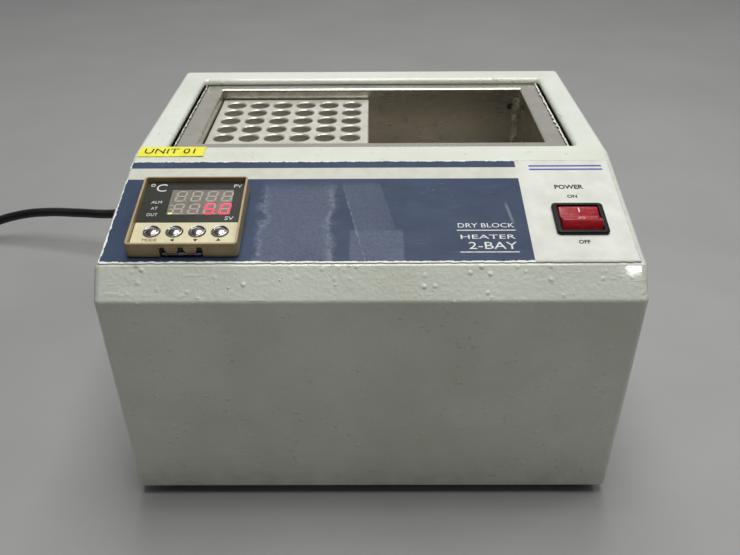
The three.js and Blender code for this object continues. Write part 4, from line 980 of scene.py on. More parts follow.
def rear_panel():
    low, high = span("rear_panel")
    sheet = soft_box((low.x, high.x, low.z, high.z), low.y, high.y, 0.3, corner=1.5).moved(UPRIGHT)
    slots = vents(19, 9, 92, 128, BACK - 5, BACK + 5).moved(UPRIGHT)
    hole_radii = dict.fromkeys(REAR_SCREW_NODES, REAR_HOLE)
    hole_radii |= {"strain_relief": 6.8, "fuse_holder": 6.4, "earth_stud": SCREW_HOLE}
    holes = Shape()
    for node, radius in hole_radii.items():
        holes += cylinder(radius, -5, 5).moved(rear_place(node))
    piece("rear_cover", sheet, "powder_coat", replaces=["rear_panel"], cut=[slots + holes])


def base_plate():
    low, high = span("base_plate")
    sheet = soft_box(plan(low, high), low.z, high.z, 0.3, corner=2)
    slots = vents(-40.5, 10, -30, 30, 0, 20)
    piece(
        "bottom_cover", sheet, "powder_coat", replaces=["base_plate"],
        cut=[slots + foot_holes()],
    )


def cross_recess(size, depth):
    """The cross-shaped socket of a screw, cut down from z = 0."""
    blade = [(size, 0.05), (size * 0.9, -depth * 0.4), (size * 0.3, -depth)]
    arms = []
    for turn in (0, math.pi / 2):
        rings = [
            [(s * w, t * size * 0.22, z) for s, t in ((-1, -1), (1, -1), (1, 1), (-1, 1))] for w, z in blade
        ]
        arms.append(loft(rings).moved(Matrix.Rotation(turn + 0.4, 4, "Z")))
    return arms


def thread(radius, next_radius, start, pitch, count):
    """Profile points of a screw thread, in turns from the start."""
    places = [start + i * pitch for i in range(count)]
    return [point for z in places for point in ((radius, z), (next_radius, z + pitch / 2))]


def pan_head_screw(name, node, matrix, head, head_height, radius, length):
    """A screw drawn with the top of its head at z = 0 and its shank going down."""
    dome = [(head * math.sin(a), -head_height * 0.75 * (1 - math.cos(a))) for a in quarter(6)]
    pitch = 0.8
    count = int((length - head_height - 1.5) / pitch)
    profile = [*dome, (head, -head_height), (radius, -head_height)]
    profile += thread(radius, radius - 0.3, -head_height - 0.6, -pitch, count)
    profile.append((radius * 0.7, -length))
    piece(
        name, lathe(profile, 28), "zinc", replaces=[node], place=matrix,
        cut=cross_recess(head * 0.55, 1.3), smooth=35,
    )


def feet():
    for node in FOOT_NODES:
        at = middle_of(node)
        low, high = span(node)
        top, height = (high.x - low.x) / 2, high.z
        pocket, pocket_top = 4.6, 2.6
        profile = [(pocket, 0), (6.9, 0), (7.5, 0.5), (8.4, height - 1.6)]
        profile += [(top, height - 0.9), (top, height - 0.3), (top - 0.3, height)]
        profile += [(SCREW_HOLE, height), (SCREW_HOLE, pocket_top), (pocket, pocket_top)]
        foot = lathe(profile, 40, closed=True).shifted(at.x, at.y)
        piece(node.replace("foot", "rubber_foot"), foot, "rubber", replaces=[node], smooth=30)
        screw = node.replace("foot", "foot_screw")
        lowest = span(screw)[0].z
        head_down = Matrix.Translation((at.x, at.y, lowest)) @ Matrix.Rotation(math.pi, 4, "X")
        pan_head_screw(screw + "_head", screw, head_down, 3.9, 1.9, 2, 12)
    for node in REAR_SCREW_NODES:
        at = middle_of(node)
        outwards = Matrix.Translation((at.x, span(node)[1].y, at.z)) @ BACKWARDS
        pan_head_screw(node + "_head", node, outwards, 3.4, 2, 1.75, 10)


# ---------------------------------------------------------------- well, block and insulation

WELL_WALLS = (-90.2, 90.2, FRONT + 111.7, FRONT + 200.1)
WELL_FLOOR = 96.5
WALL_HOLE = 2.2
STUD_X = 60


def well():
    """The tub: flange, rounded folds, walls and floor in one sheet, with two studs under the floor."""
    low, high = span("well_tub")
    top, sheet = high.z, 0.8
    flange = plan(low, high)
    walls, floor = WELL_WALLS, WELL_FLOOR
    fold, foot = 1.9, 2.2
    rings = [(grown(walls, x), 0.5, z) for x, z in arc((-foot, floor + foot), foot, -90, 0, 4)]
    rings += [(grown(walls, x), 0.5, z) for x, z in arc((fold, top - fold), fold, 180, 90, 6)]
    rim = 0.9
    rings += [(grown(flange, x), 1.6, z) for x, z in arc((-rim, top - rim), rim, 90, 0, 4)]
    hem = top - 5
    rings += [(flange, 1.6, hem), (grown(flange, -sheet), 1.2, hem)]
    rings += [(grown(flange, -sheet), 1.2, top - rim), (grown(flange, -rim), 1, top - sheet)]
    rings += [(grown(walls, fold), 1.6, top - sheet), (grown(walls, sheet), 1.6, top - fold)]
    rings += [(grown(walls, sheet), 1.6, floor + foot), (grown(walls, sheet - foot), 1.6, floor - sheet)]
    shape = loft([[(x, y, z) for x, y in rounded(*bounds, radius, 4)] for bounds, radius, z in rings])
    for point in shape.points:
        near_rim = abs(point.x) > 99 or point.y < flange[2] + 2 or point.y > flange[3] - 2
        if near_rim:
            point.z += 0.3 * noise.noise(point * 0.09) - 0.1
    places = [
        Matrix.Translation((85.4, walls[3], 141)) @ BACKWARDS,
        Matrix.Translation((walls[1], 64.5, 145)) @ ALONG_X,
    ]
    holes = [cylinder(WALL_HOLE, -3, 3, 24).moved(place) for place in places]
    # Painted shade: dark discs just behind the two wall holes, where the bright foil behind would show.
    shade_disc = lathe([(WALL_HOLE - 0.1, 0.4), (WALL_HOLE - 0.1, 0.7), (1.2, 0.75)], 24)
    shade_discs = together(shade_disc.moved(place) for place in places)
    piece("well_hole_shade_discs", shade_discs, "rubber")
    stud_y = (walls[2] + walls[3]) / 2
    studs = [cylinder(2, floor - 9, floor - 0.5, 24).shifted(x, stud_y) for x in (-STUD_X, STUD_X)]
    piece(
        "well_liner", shape, "well_steel", replaces=["well_tub"], join=studs, cut=holes,
        smooth=50,
    )


HOLE_COLUMNS, HOLE_ROWS = 6, 5
HOLE_PITCH_X, HOLE_PITCH_Y = 13.8, 13.45
FIRST_HOLE = (9.05, 21.3)  # from the block's front left corner
HOLE_RADIUS, HOLE_DEPTH = 5.5, 36


def drilled(radius, depth, tip, chamfer, sides=40):
    """A drill's shape, down from z = 0, with a countersunk mouth."""
    return lathe(
        [(0, -depth - tip), (radius, -depth), (radius, -chamfer), (radius + chamfer + 0.5, 0.5)], sides,
    )


def tube_block():
    low, high = span("tube_block")
    bounds = plan(low, high)
    edge = 0.7
    top_edge = [(x - edge, z + high.z - edge) for x, z in arc((0, 0), edge, 0, 90, 4)]
    body = stack(bounds, 1.2, [(-0.5, low.z), (0, low.z + 0.5), *top_edge])
    first = low.xy + Vector(FIRST_HOLE)
    places = [
        (first.x + column * HOLE_PITCH_X, first.y + row * HOLE_PITCH_Y)
        for row in range(HOLE_ROWS) for column in range(HOLE_COLUMNS)
    ]
    holes = together(drilled(HOLE_RADIUS, HOLE_DEPTH, 3, 0.5).shifted(x, y, high.z) for x, y in places)
    for radius, depth, x in ((2.6, 32, 44), (2.1, 10, 62.6)):
        holes += drilled(radius, depth, 1, 0.4, 28).shifted(low.x + x, low.y + 9, high.z)
    piece(
        "drilled_block", body, "block", body="block", replaces=["tube_block"], cut=[holes],
        smooth=35,
    )


def insulation():
    """Glass wool in foil: a crumpled sleeve round the well, with its edge in the slot beside the flange."""
    low, high = span("insulation_jacket")
    outer = plan(low, high)
    inner = grown(outer, -9.2)
    levels = [(outer, low.z + (high.z - low.z) * i / 8) for i in range(9)]
    levels += [(inner, high.z), (inner, low.z)]
    outlines = [(subdivided(rounded(*bounds, 4, 4), 64), z) for bounds, z in levels]
    shape = loft([[(x, y, z) for x, y in outline] for outline, z in outlines], closed=True)
    for point in shape.points:
        if abs(point.x) > inner[1] + 2 or point.y < inner[2] - 2 or point.y > inner[3] + 2:
            wave = noise.noise(point * 0.11) + 0.6 * noise.noise(point * 0.37)
            point.x -= math.copysign(0.8 + 0.8 * wave, point.x) if abs(point.x) > inner[1] + 2 else 0
            if point.z > high.z - 1:
                point.z += 0.3 + 0.9 * wave
    piece("insulation_sleeve", shape, "foil", replaces=["insulation_jacket"], smooth=25)


def flange_edge_highlight_strips():
    """Pale ragged strips folded over the outer edges of the well's flange: a painted highlight standing in
    for the bright glint along the flange's edges.
    """
    low, high = span("well_tub")
    edge_x, foot_z, fold_z, thick = high.x + 0.35, 145.5, high.z + 0.3, 0.14
    count = 150
    for name, side in (("left", -1), ("right", 1)):
        rings = []
        for i in range(count + 1):
            y = low.y + 1.5 + (high.y - low.y - 3) * i / count
            edge_waver = noise.noise(Vector((y * 0.3, side, 2))) + 0.7 * noise.noise(Vector((y * 1.1, side, 7)))
            width = max(0.6 + 0.25 * side + 0.9 * edge_waver, 0.05)
            x = edge_x + 0.3 * noise.noise(Vector((y * 0.45, 1.5, side * 4)))
            ring = [
                (x, foot_z), (x, fold_z - thick), (x - width, fold_z - thick + 0.1),
                (x - width, fold_z + 0.1), (x + thick, fold_z), (x + thick, foot_z),
            ]
            rings.append([(side * across, y, z) for across, z in ring])
        piece(f"flange_edge_highlight_{name}", loft(rings), "edge_highlight_cream", smooth=25)


def subdivided(outline, count):
    """A closed outline drawn again with an even number of points."""
    closed = [Vector(p) for p in outline] + [Vector(outline[0])]
    lengths = [0.0]
    for a, b in zip(closed, closed[1:]):
        lengths.append(lengths[-1] + (b - a).length)
    points, place = [], 0
    for i in range(count):
        target = lengths[-1] * i / count
        while lengths[place + 1] < target:
            place += 1
        share = (target - lengths[place]) / max(lengths[place + 1] - lengths[place], 1e-9)
        points.append(tuple(closed[place].lerp(closed[place + 1], share)))
    return points


# ---------------------------------------------------------------- film, tape and printing

def ragged(outline, count, amount, seed):
    """An outline with torn, chipped edges."""
    points = subdivided(outline, count)
    middle = sum((Vector(p) for p in points), Vector((0, 0))) / count
    torn = []
    for x, y in points:
        place = Vector((x, y, seed))
        bite = noise.noise(place * 0.35) + 0.6 * noise.noise(place * 1.3)
        side = Vector((math.copysign(1, x - middle.x), math.copysign(1, y - middle.y)))
        torn.append((x - side.x * amount * max(bite, -0.4), y - side.y * amount * max(bite, -0.4)))
    return torn


def control_film():
    low, high = panel_span("panel_film")
    outline = ragged(rounded(low.x, high.x, low.y - 0.5, high.y, 0.8), 640, 0.42, 3.0)
    panel_print(low, high)
    piece(
        "control_film", prism(outline, low.z, high.z), "panel_print", replaces=["panel_film"],
        place=PANEL, cut=panel_holes(), smooth=30,
    )


def film_height():
    return panel_span("panel_film")[1].z + 0.02


def on_film(words, x, s, width, height, bold=0.0):
    return lettering(words, (x, -s), width, height, film_height(), bold=bold)


def rule(x0, x1, s, width=0.55):
    z = film_height()
    return stack((x0, x1, -s - width / 2, -s + width / 2), 0.1, [(0, z), (0, z + 0.05)], steps=2)


def film_printing():
    black = on_film("POWER", 92.6, 30.3, 13.4, 3.2, 0.03)
    black += on_film("ON", 93.0, 37.5, 4.6, 2.3, 0.03) + on_film("OFF", 93.0, 69.6, 5.1, 2.5, 0.03)
    piece("film_print_black", black, "ink_black", place=PANEL)
    white = on_film("DRY BLOCK", 51.2, 58.2, 25, 3.0) + rule(38, 64, 61.6)
    white += on_film("HEATER", 51.4, 66.0, 24, 2.7) + on_film("2-BAY", 53.0, 71.8, 21, 4.6)
    white += rule(38.5, 64, 76.1)
    piece("film_print_white", white, "ink_white", place=PANEL)
    blue = rule(76, 111, 13.6, 1.1) + rule(76, 111, 16.4, 1.1)
    piece("film_print_blue", blue, "ink_blue", place=PANEL)


def label_tape():
    """A strip of tape over the fold, with cut ends, a lifted corner and small creases."""
    low, high = span("label_tape")
    on_top = high.y - BEND_Y
    on_slope = 4.0
    bend_radius = 6.0
    thick, lift = 0.22, 0.12
    tangent = bend_radius * math.tan(SLOPE / 2)
    path = [(Vector((BEND_Y + on_top - (on_top - tangent) * i / 6, TOP)), 0.0) for i in range(7)]
    centre = Vector((BEND_Y + tangent, TOP - bend_radius))
    for i in range(1, 5):
        angle = SLOPE * i / 4
        path.append((centre + bend_radius * Vector((-math.sin(angle), math.cos(angle))), angle))
    slope = Vector((-math.cos(SLOPE), -math.sin(SLOPE)))
    last = path[-1][0]
    path += [(last + slope * (on_slope - tangent) * i / 4, SLOPE) for i in range(1, 5)]
    rings = []
    count = 60
    for i in range(count + 1):
        x = low.x + (high.x - low.x) * i / count
        ring = []
        for side in (0, 1):
            places = path if side == 0 else path[::-1]
            for place, angle in places:
                out = Vector((-math.sin(angle), math.cos(angle)))
                wave = 0.07 * noise.noise(Vector((x * 0.25, place.x * 0.3, 1.0)))
                corner = max(0.0, (x - high.x + 7) / 7) * max(0.0, (BEND_Y - 1 - place.x) / 4) * 0.35
                ragged_x = 0.15 * noise.noise(Vector((place.x * 1.2, i // 31, 5.0))) if i in (0, count) else 0
                point = place + out * (lift + wave + 0.04 + corner + (thick if side == 0 else 0))
                ring.append((x + ragged_x, point.x, point.y))
        rings.append(ring)
    piece("label_tape_strip", loft(rings), "tape", replaces=["label_tape"], smooth=30)
    words = lettering("UNIT 01", ((low.x + high.x) / 2 - 1, 0.9), 25, 5.2, lift + thick + 0.14, 0.04)
    piece("label_tape_print", folded(words).shifted(0, BEND_Y, TOP), "ink_black")


def folded(shape):
    """A flat shape bent over the panel's fold, which lies at y = 0."""
    work = bmesh.new()
    mesh = bpy.data.meshes.new("flat")
    mesh.from_pydata(shape.points, [], shape.faces)
    work.from_mesh(mesh)
    for y in (-0.5, 0, 0.5):
        parts = work.verts[:] + work.edges[:] + work.faces[:]
        bmesh.ops.bisect_plane(work, geom=parts, plane_co=(0, y, 0), plane_no=(0, 1, 0))
    work.to_mesh(mesh)
    work.free()
    bent = []
    for vertex in mesh.vertices:
        share = min(max(0.5 - vertex.co.y, 0), 1)
        turn = Matrix.Rotation(SLOPE * share, 3, "X")
        bent.append(turn @ vertex.co)
    faces = [tuple(polygon.vertices) for polygon in mesh.polygons]
    bpy.data.meshes.remove(mesh)
    return Shape(bent, faces)


# ---------------------------------------------------------------- temperature controller

BEZEL_LOW, BEZEL_HIGH = panel_span("controller_bezel")
BEZEL_HALF = (BEZEL_HIGH.x - BEZEL_LOW.x) / 2
BEZEL_MIDDLE = (BEZEL_LOW + BEZEL_HIGH) / 2
CONTROLLER = PANEL @ Matrix.Translation((BEZEL_MIDDLE.x, BEZEL_MIDDLE.y, 0))
FACE_LOW, FACE_HIGH = (corner.z for corner in panel_span("controller_window"))
DISPLAY = (-10.4, 17.9, -1.1, 17.2)
LATCH_TOP = 6.3
LATCH_STRIP = (1.2, 3)
LATCH_TAB = (3, 5.6)
DISPLAY_FLOOR = FACE_HIGH - 0.35
INK_Z = DISPLAY_FLOOR + 0.14


def bezel():
    square = (-BEZEL_HALF, BEZEL_HALF, -BEZEL_HALF, BEZEL_HALF)
    top = BEZEL_HIGH.z
    edge, lip = 0.45, 0.2
    levels = [(-3, 0.9), (-0.25, 0.9), (0, 1.15)]
    levels += [(x - 0.04 - edge, z + top - edge) for x, z in arc((0, 0), edge, 0, 80, 5)]
    levels += [(x - 1.1 + lip, z + top - lip) for x, z in arc((0, 0), lip, 90, 180, 3)]
    levels += [(-1.1, FACE_LOW - GAP), (-3, FACE_LOW - GAP)]
    shape = stack(square, 1.9, levels, closed=True)
    notch = soft_box((-9.5, 9, -BEZEL_HALF - 2, -BEZEL_HALF + 1.7), -1, LATCH_TOP, 0.3)
    piece(
        "controller_frame", shape, "bezel", replaces=["controller_bezel"], place=CONTROLLER,
        cut=[notch], smooth=35,
    )
    strip = soft_box((-9.2, 8.7, -BEZEL_HALF + 0.8, -BEZEL_HALF + 1.4), *LATCH_STRIP, 0.2)
    peg = cylinder(0.9, 0.3, 0.8, 20).moved(BACKWARDS)
    pegs = peg.shifted(-7, -BEZEL_HALF, 2.1) + peg.shifted(6.4, -BEZEL_HALF, 2.1)
    behind = (-9.2, 8.7, -BEZEL_HALF + 1.3, -BEZEL_HALF + 1.65)
    backing = stack(behind, 0.1, [(0, 0.95), (0, LATCH_TOP - 0.4)])
    piece("controller_latch_strip", strip + backing, "black", place=CONTROLLER)
    bar = cylinder(0.55, -8.6, 8.2, 20).moved(ALONG_X).shifted(0, -BEZEL_HALF + 0.75, 2)
    sleeve = cylinder(0.8, -1.4, 0.4, 20).moved(ALONG_X).shifted(0, -BEZEL_HALF + 0.85, 2)
    piece("controller_latch_bar", bar + sleeve + pegs, "sheet_steel", place=CONTROLLER)
    low, high = LATCH_TAB
    levels = [(-0.9, low), (-0.25, low + 0.7), (0, high - 0.5), (-0.1, high - 0.1), (-0.4, high)]
    tab = stack((-2.9, 2.9, -BEZEL_HALF + 0.35, -BEZEL_HALF + 1.1), 0.35, levels)
    tabs = tab.shifted(-4.4) + tab.shifted(3.6)
    piece(
        "controller_release_tabs", tabs, "tab", replaces=["controller_latch"],
        place=CONTROLLER,
    )


def face_plate(node):
    """One of the two thin plates that fill the bezel."""
    low, high = (corner - BEZEL_MIDDLE for corner in panel_span(node))
    return soft_box(plan(low, high), FACE_LOW, FACE_HIGH, 0.15, corner=0.6)


def window():
    pane = face_plate("controller_window")
    recess = stack(DISPLAY, 0.5, [(0, DISPLAY_FLOOR), (0.25, FACE_HIGH + 0.5)])
    piece(
        "controller_window_pane", pane, "window", replaces=["controller_window"],
        place=CONTROLLER, cut=[recess],
    )
    face = stack(DISPLAY, 0.5, [(-0.08, DISPLAY_FLOOR + 0.02), (-0.08, DISPLAY_FLOOR + 0.12)])
    piece("display_diffuser", face, "display_face", place=CONTROLLER)


SEGMENT_WIDTH = 0.8
SEGMENT_GAP = 0.12
FIRST_DIGIT, DIGIT_PITCH, DIGIT_WIDTH = -5.6, 7.0, 4.0
DIGIT_SLANT = 0.12
SEGMENTS_OF = {"5": [*"afgcd", "point"], "0": [*"abcdef"]}


def segment_shapes(centre, width, height):
    """The seven bars of one digit, by letter, and its point."""
    w, h, t = width / 2, height / 2, SEGMENT_WIDTH / 2
    across = {"a": h, "g": 0, "d": -h}
    upright = {"b": (w, h / 2), "c": (w, -h / 2), "f": (-w, h / 2), "e": (-w, -h / 2)}

    def bar(reach):
        """A bar along X with pointed ends."""
        return [(-reach, 0), (t - reach, t), (reach - t, t), (reach, 0), (reach - t, -t), (t - reach, -t)]

    bars = {letter: [(x, y + v) for x, v in bar(w - SEGMENT_GAP)] for letter, y in across.items()}
    for letter, (x, y) in upright.items():
        bars[letter] = [(x + v, y + u) for u, v in bar(h / 2 - SEGMENT_GAP)]
    bars["point"] = [(w + 0.9 + x, y - h) for x, y in polygon(0.3, 8)]
    made = {}
    for letter, outline in bars.items():
        leaning = [(centre[0] + x + DIGIT_SLANT * y, centre[1] + y) for x, y in outline]
        made[letter] = prism(leaning, INK_Z, INK_Z + 0.08)
    return made


def numerals():
    """Two rows of four digits and three lamps. The lower row's last two digits are lit and read 5.0."""
    unlit, lit = Shape(), Shape()
    rows = [("    ", 12.0, 6.8), ("  50", 2.9, 6.6)]
    for text, y, height in rows:
        for i, character in enumerate(text):
            centre = (FIRST_DIGIT + DIGIT_PITCH * i, y)
            for letter, bar in segment_shapes(centre, DIGIT_WIDTH, height).items():
                if letter in SEGMENTS_OF.get(character, ()):
                    lit += bar
                else:
                    unlit += bar
    lamps = [soft_box((-9.6, -8.0, y - 0.35, y + 0.35), INK_Z, INK_Z + 0.1, 0.04) for y in (5.4, 2.8, -0.2)]
    unlit += lamps[0] + lamps[1]
    piece("display_segments", unlit, "segment", place=CONTROLLER)
    piece("display_segments_lit", lit, "lit", place=CONTROLLER)
    piece("display_lamp", lamps[2], "lamp", place=CONTROLLER)


def face_printing():
    z = FACE_HIGH + 0.02
    signs = [
        ("°C", (-17.0, 18.3), 7.6, 5.8), ("PV", (19.4, 19.4), 3.6, 2.3), ("SV", (18.0, -3.9), 3.8, 2.4),
        ("ALM", (-16, 7.6), 4.7, 1.9), ("AT", (-16.3, 3.2), 2.9, 1.9), ("OUT", (-16.5, -1.3), 4.8, 2.0),
    ]
    white = together(lettering(words, at, width, height, z, 0.04) for words, at, width, height in signs)
    piece("window_print", white, "ink_white", place=CONTROLLER)
    xs = [key_place(node).x for node in KEY_NODES]
    y = -18.5
    marks = lettering("MODE", (xs[0], y), 6.2, 1.8, z, 0.04)
    size = 1.15
    for x, turn in ((xs[1], math.pi), (xs[2], -math.pi / 2), (xs[3], math.pi / 2)):
        arrow = [(x + size * math.cos(turn + a), y + size * math.sin(turn + a)) for a in (0, 2.1, -2.1)]
        marks += prism(arrow, z, z + 0.04)
    piece("keypad_print", marks, "ink_black", place=CONTROLLER)


KEY_NODES = ["key_mode", "key_shift", "key_down", "key_up"]


def key_place(node):
    """The middle of a key, from the middle of the controller."""
    low, high = panel_span(node)
    return (low + high) / 2 - BEZEL_MIDDLE


def keypad():
    plate = face_plate("controller_keypad")
    holes = together(cylinder(3.9, 0, 9, 40).shifted(*key_place(node).xy) for node in KEY_NODES)
    piece(
        "keypad_plate", plate, "keypad", replaces=["controller_keypad"], place=CONTROLLER,
        cut=[holes],
    )
    for node in KEY_NODES:
        key_low, key_high = panel_span(node)
        back, top = key_low.z, key_high.z
        profile = [(4.0, back), (4.3, back + 0.2), (4.3, FACE_LOW - GAP), (3.6, FACE_LOW - GAP)]
        profile += [(x + 3.2, z + top - 0.6) for x, z in arc((0, 0), 0.4, 0, 110, 5)]
        profile += [(2.8, top - 0.62), (2.6, top - 0.62)]
        profile += [(2.55 * math.cos(a), top - 0.6 + 0.6 * math.sin(a)) for a in quarter(6)]
        button = lathe(profile, 44).shifted(*key_place(node).xy)
        piece(
            node + "_button", button, "key", body=node, replaces=[node], place=CONTROLLER,
            smooth=50,
        )


# ---------------------------------------------------------------- power switch

FRAME_LOW, FRAME_HIGH = panel_span("switch_frame")
FRAME_MIDDLE = (FRAME_LOW + FRAME_HIGH) / 2
SWITCH = PANEL @ Matrix.Translation((FRAME_MIDDLE.x, FRAME_MIDDLE.y, 0))
ROCKER_HALF_WIDTH = 8.9
ROCKER_CREST = Vector((6.3, 3.9))
ROCKER_PIVOT = -1.5
ROCKER_VALLEY = math.radians(15.7)
ROCKER_REST = math.radians(-12)


def switch_frame():
    half_x, half_y = (FRAME_HIGH.x - FRAME_LOW.x) / 2, (FRAME_HIGH.y - FRAME_LOW.y) / 2
    rim, hole, body = (half_x, half_y), (9.2, 8.7), (10.7, 9.35)
    top, bottom = FRAME_HIGH.z, FRAME_LOW.z
    edge, inner_edge = 0.7, 0.35
    rings = [(hole, 0, 0.4, -13)]
    rings += [
        (hole, inner_edge + x, 0.4, z + top - inner_edge) for x, z in arc((0, 0), inner_edge, 180, 90, 3)
    ]
    rings += [(rim, x - edge, 1.8, z + top - edge) for x, z in arc((0, 0), edge, 90, 0, 4)]
    rings += [
        (rim, 0, 1.8, 0.9), (body, 0, 0.6, 0.9), (body, 0, 0.6, bottom + 0.4), (body, -0.4, 0.6, bottom),
    ]
    outlines = []
    for (x, y), grow, radius, z in rings:
        outline = rounded(-x - grow, x + grow, -y - grow, y + grow, radius, 4)
        outlines.append([(u, v, z) for u, v in outline])
    bearing = cylinder(1.5, -20, 20, 24).moved(ALONG_X).shifted(z=ROCKER_PIVOT)
    piece(
        "switch_bezel", loft(outlines), "switch_black", replaces=["switch_frame"],
        place=SWITCH, cut=[bearing], smooth=35,
    )


def rocker():
    """Two faces in a shallow V over arcs about the pivot, tipped to its upper half."""
    reach = ROCKER_CREST - Vector((0, ROCKER_PIVOT))
    radius = reach.length
    start, end = math.degrees(math.atan2(reach.y, reach.x)), -42
    front = [Vector(p) for p in arc((0, ROCKER_PIVOT), radius, start, end, 8)]
    valley = Vector((0, ROCKER_CREST.y - ROCKER_CREST.x * math.tan(ROCKER_VALLEY)))
    back = [Vector((-p.x, p.y)) for p in front]
    outline = [*front[::-1], valley, *back]
    radii = [None] * 8 + [0.5, 2.5, 0.5] + [None] * 8
    body = round_ended(outline, radii, -ROCKER_HALF_WIDTH, ROCKER_HALF_WIDTH, 0.55, corner_steps=4)
    pivot = Matrix.Translation((0, 0, ROCKER_PIVOT))
    stub = cylinder(1.2, -ROCKER_HALF_WIDTH - 0.5, ROCKER_HALF_WIDTH + 0.5, 24).moved(pivot @ ALONG_X)
    tilted = SWITCH @ pivot @ Matrix.Rotation(ROCKER_REST, 4, "X") @ pivot.inverted()
    piece(
        "rocker_paddle", body, "rocker_red", body="rocker", replaces=["switch_rocker"],
        place=tilted, join=[stub], smooth=35,
    )
    marks = Shape()
    for y, slope in ((4.1, ROCKER_VALLEY), (-2.9, -ROCKER_VALLEY)):
        height = valley.y + abs(y) * math.tan(ROCKER_VALLEY)
        place = Matrix.Translation((0.2, y, height)) @ Matrix.Rotation(slope, 4, "X")
        if y > 0:
            mark = soft_box((-0.3, 0.3, -1.4, 1.4), -0.1, 0.05, 0.04)
        else:
            ring = [(1.5, -0.1), (1.5, 0.05), (1.05, 0.05), (1.05, -0.1)]
            mark = lathe(ring, 36, closed=True)
        marks += mark.moved(place)
    piece("rocker_marks", marks, "ink_white", body="rocker", place=tilted)


# ---------------------------------------------------------------- rear fittings

def fuse():
    low, high = span("fuse_holder")
    flange = 8.5
    face = high.y - BACK
    inner = BACK - low.y
    profile = [
        (4.6, -inner + 4), (4.6, face - 0.3), (5.0, face), (flange - 0.6, face), (flange, face - 0.6),
        (flange, GAP),
    ]
    profile += [(6, GAP), (6, -inner + 0.6), (5.4, -inner)]
    nut = cylinder(8.6, -SHEET - GAP - 3, -SHEET - GAP, sides=6)
    holder = lathe(profile, 40)
    place = rear_place("fuse_holder")
    piece(
        "fuse_socket", holder, "black", replaces=["fuse_holder"], place=place, join=[nut],
        smooth=35,
    )
    cap_low, cap_high = span("fuse_cap")
    top = cap_high.y - BACK
    start = face + GAP
    stem = start - (cap_high.y - cap_low.y - (top - start))
    radius, groove, grip_points = 6.8, 0.35, 72
    rings = []
    for z, drop in [(start, 0.3), (start + 0.3, 0), (top - 1.2, 0), (top - 0.3, 0.5), (top, 1.2)]:
        outer = polygon(radius - drop, grip_points)
        inner = polygon(radius - drop - groove, grip_points)
        rings.append([(*(inner if i % 3 == 0 else outer)[i], z) for i in range(grip_points)])
    carrier = cylinder(4.2, stem, start + 1, 32)
    slot_cut = stack((-9, 9, -0.8, 0.8), 0.1, [(0, top - 1.6), (0, top + 1)])
    piece(
        "fuse_cap_knob", loft(rings), "black", body="fuse_cap", replaces=["fuse_cap"],
        place=place, join=[carrier], cut=[slot_cut], smooth=30,
    )


def earth():
    low, high = span("earth_stud")
    y0, y1 = low.y - BACK, high.y - BACK
    pitch = 0.7
    turns = thread(1.75, 2.0, y0 + 0.6, pitch, int((y1 - y0 - 1.4) / pitch))
    stud = lathe([(1.4, y0), *turns, (1.4, y1)], 28)
    thick = 3.2
    nut = lathe([(3.7, 0), (4.0, 0.35), (4.0, thick - 0.35), (3.7, thick)], 6)
    nut = nut.moved(Matrix.Rotation(0.3, 4, "Z"))
    nuts = [nut.shifted(z=GAP), nut.shifted(z=-SHEET - GAP - thick)]
    piece(
        "earth_post", stud, "brass", replaces=["earth_stud"], place=rear_place("earth_stud"),
        join=nuts, smooth=35,
    )


def rear_printing():
    """The words beside the rear fittings, raised like silk-screen ink."""
    fuse_at, earth_at = middle_of("fuse_holder"), middle_of("earth_stud")
    words = lettering("FUSE", (-fuse_at.x, fuse_at.z + 13), 11, 3, 0.02)
    words += lettering("GND", (-earth_at.x, earth_at.z + 9), 8, 2.6, 0.02)
    turned = Matrix(((-1, 0, 0, 0), (0, 0, 1, BACK), (0, 1, 0, 0), (0, 0, 0, 1)))
    piece("rear_print", words, "ink_black", place=turned)


# ---------------------------------------------------------------- CAD pieces that keep their shape

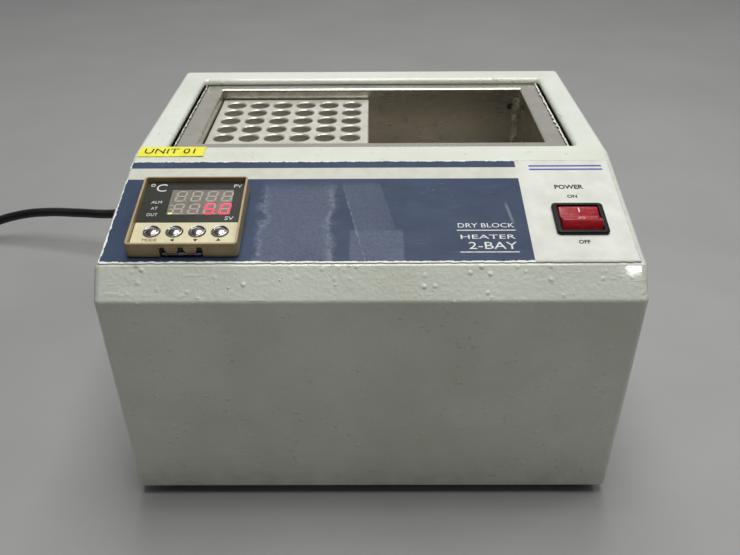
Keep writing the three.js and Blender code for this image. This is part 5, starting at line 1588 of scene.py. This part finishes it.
CAD_LOOKS = {
    "insulation_pad": "wool",
    "heater_pad": "silicone",
    "heater_clamp_plate": "sheet_steel",
    "clamp_nut_left": "zinc",
    "clamp_nut_right": "zinc",
    "thermal_cutout": "relay_case",
    "temperature_probe": "well_steel",
    "well_support": "sheet_steel",
    "controller_display_board": "board",
    "controller_case": "black",
    "controller_bracket": "keypad",
    "controller_terminals": "relay_case",
    "switch_terminal_line": "copper",
    "switch_terminal_load": "copper",
    "relay": "relay_case",
    "wire_fuse_to_switch": "red_wire",
    "wire_relay_to_heater": "red_wire",
    "wire_probe_to_controller": "red_wire",
    "wire_earth": "green_wire",
}


def dress_cad_nodes():
    for node, look in CAD_LOOKS.items():
        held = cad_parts[node]
        if not held.material_slots:
            held.data.materials.append(LOOKS[look])
        for holder in held.material_slots:
            holder.material = LOOKS[look]


# ---------------------------------------------------------------- studio

FLOOR_HALF = 30000


def studio():
    make_world((0.97, 0.98, 1.0), 0.02, 0.12, 0.62)
    make_light("ceiling", (0.05, 0.03, 1.5), (0, 0.03, 0.1), (1.5, 0.72), 18.5)
    make_light("lamp_right", (0.75, -0.05, 1.1), (0.05, -0.1, 0.13), (0.5, 0.16), 2.2)
    make_light("glint_lip", (0.5, -1.0, 0.96), (0.1, -0.115, 0.13), (0.06, 0.03), 0.16)
    make_light("glint_rim", (-0.06, -0.15, 1.4), (0, 0.09, 0.155), (0.14, 0.06), 1.0)
    corners = [(x * FLOOR_HALF, y * FLOOR_HALF, 0) for x, y in ((-1, -1), (1, -1), (1, 1), (-1, 1))]
    floor = new_object("studio_floor", Shape(corners, [(0, 1, 2, 3)]))
    floor.data.materials.append(LOOKS["pale_floor"])
    bpy.context.scene.view_settings.view_transform = "Standard"


make_looks()
make_camera()
make_cord(strain_relief(), plug())
for make in (
    cabinet, rear_panel, base_plate, feet, well, tube_block, insulation, flange_edge_highlight_strips, control_film,
    film_printing, label_tape, bezel, window, numerals, keypad, face_printing, switch_frame, rocker, fuse,
    earth, rear_printing, dress_cad_nodes, studio,
):
    make()

bpy.context.view_layer.update()
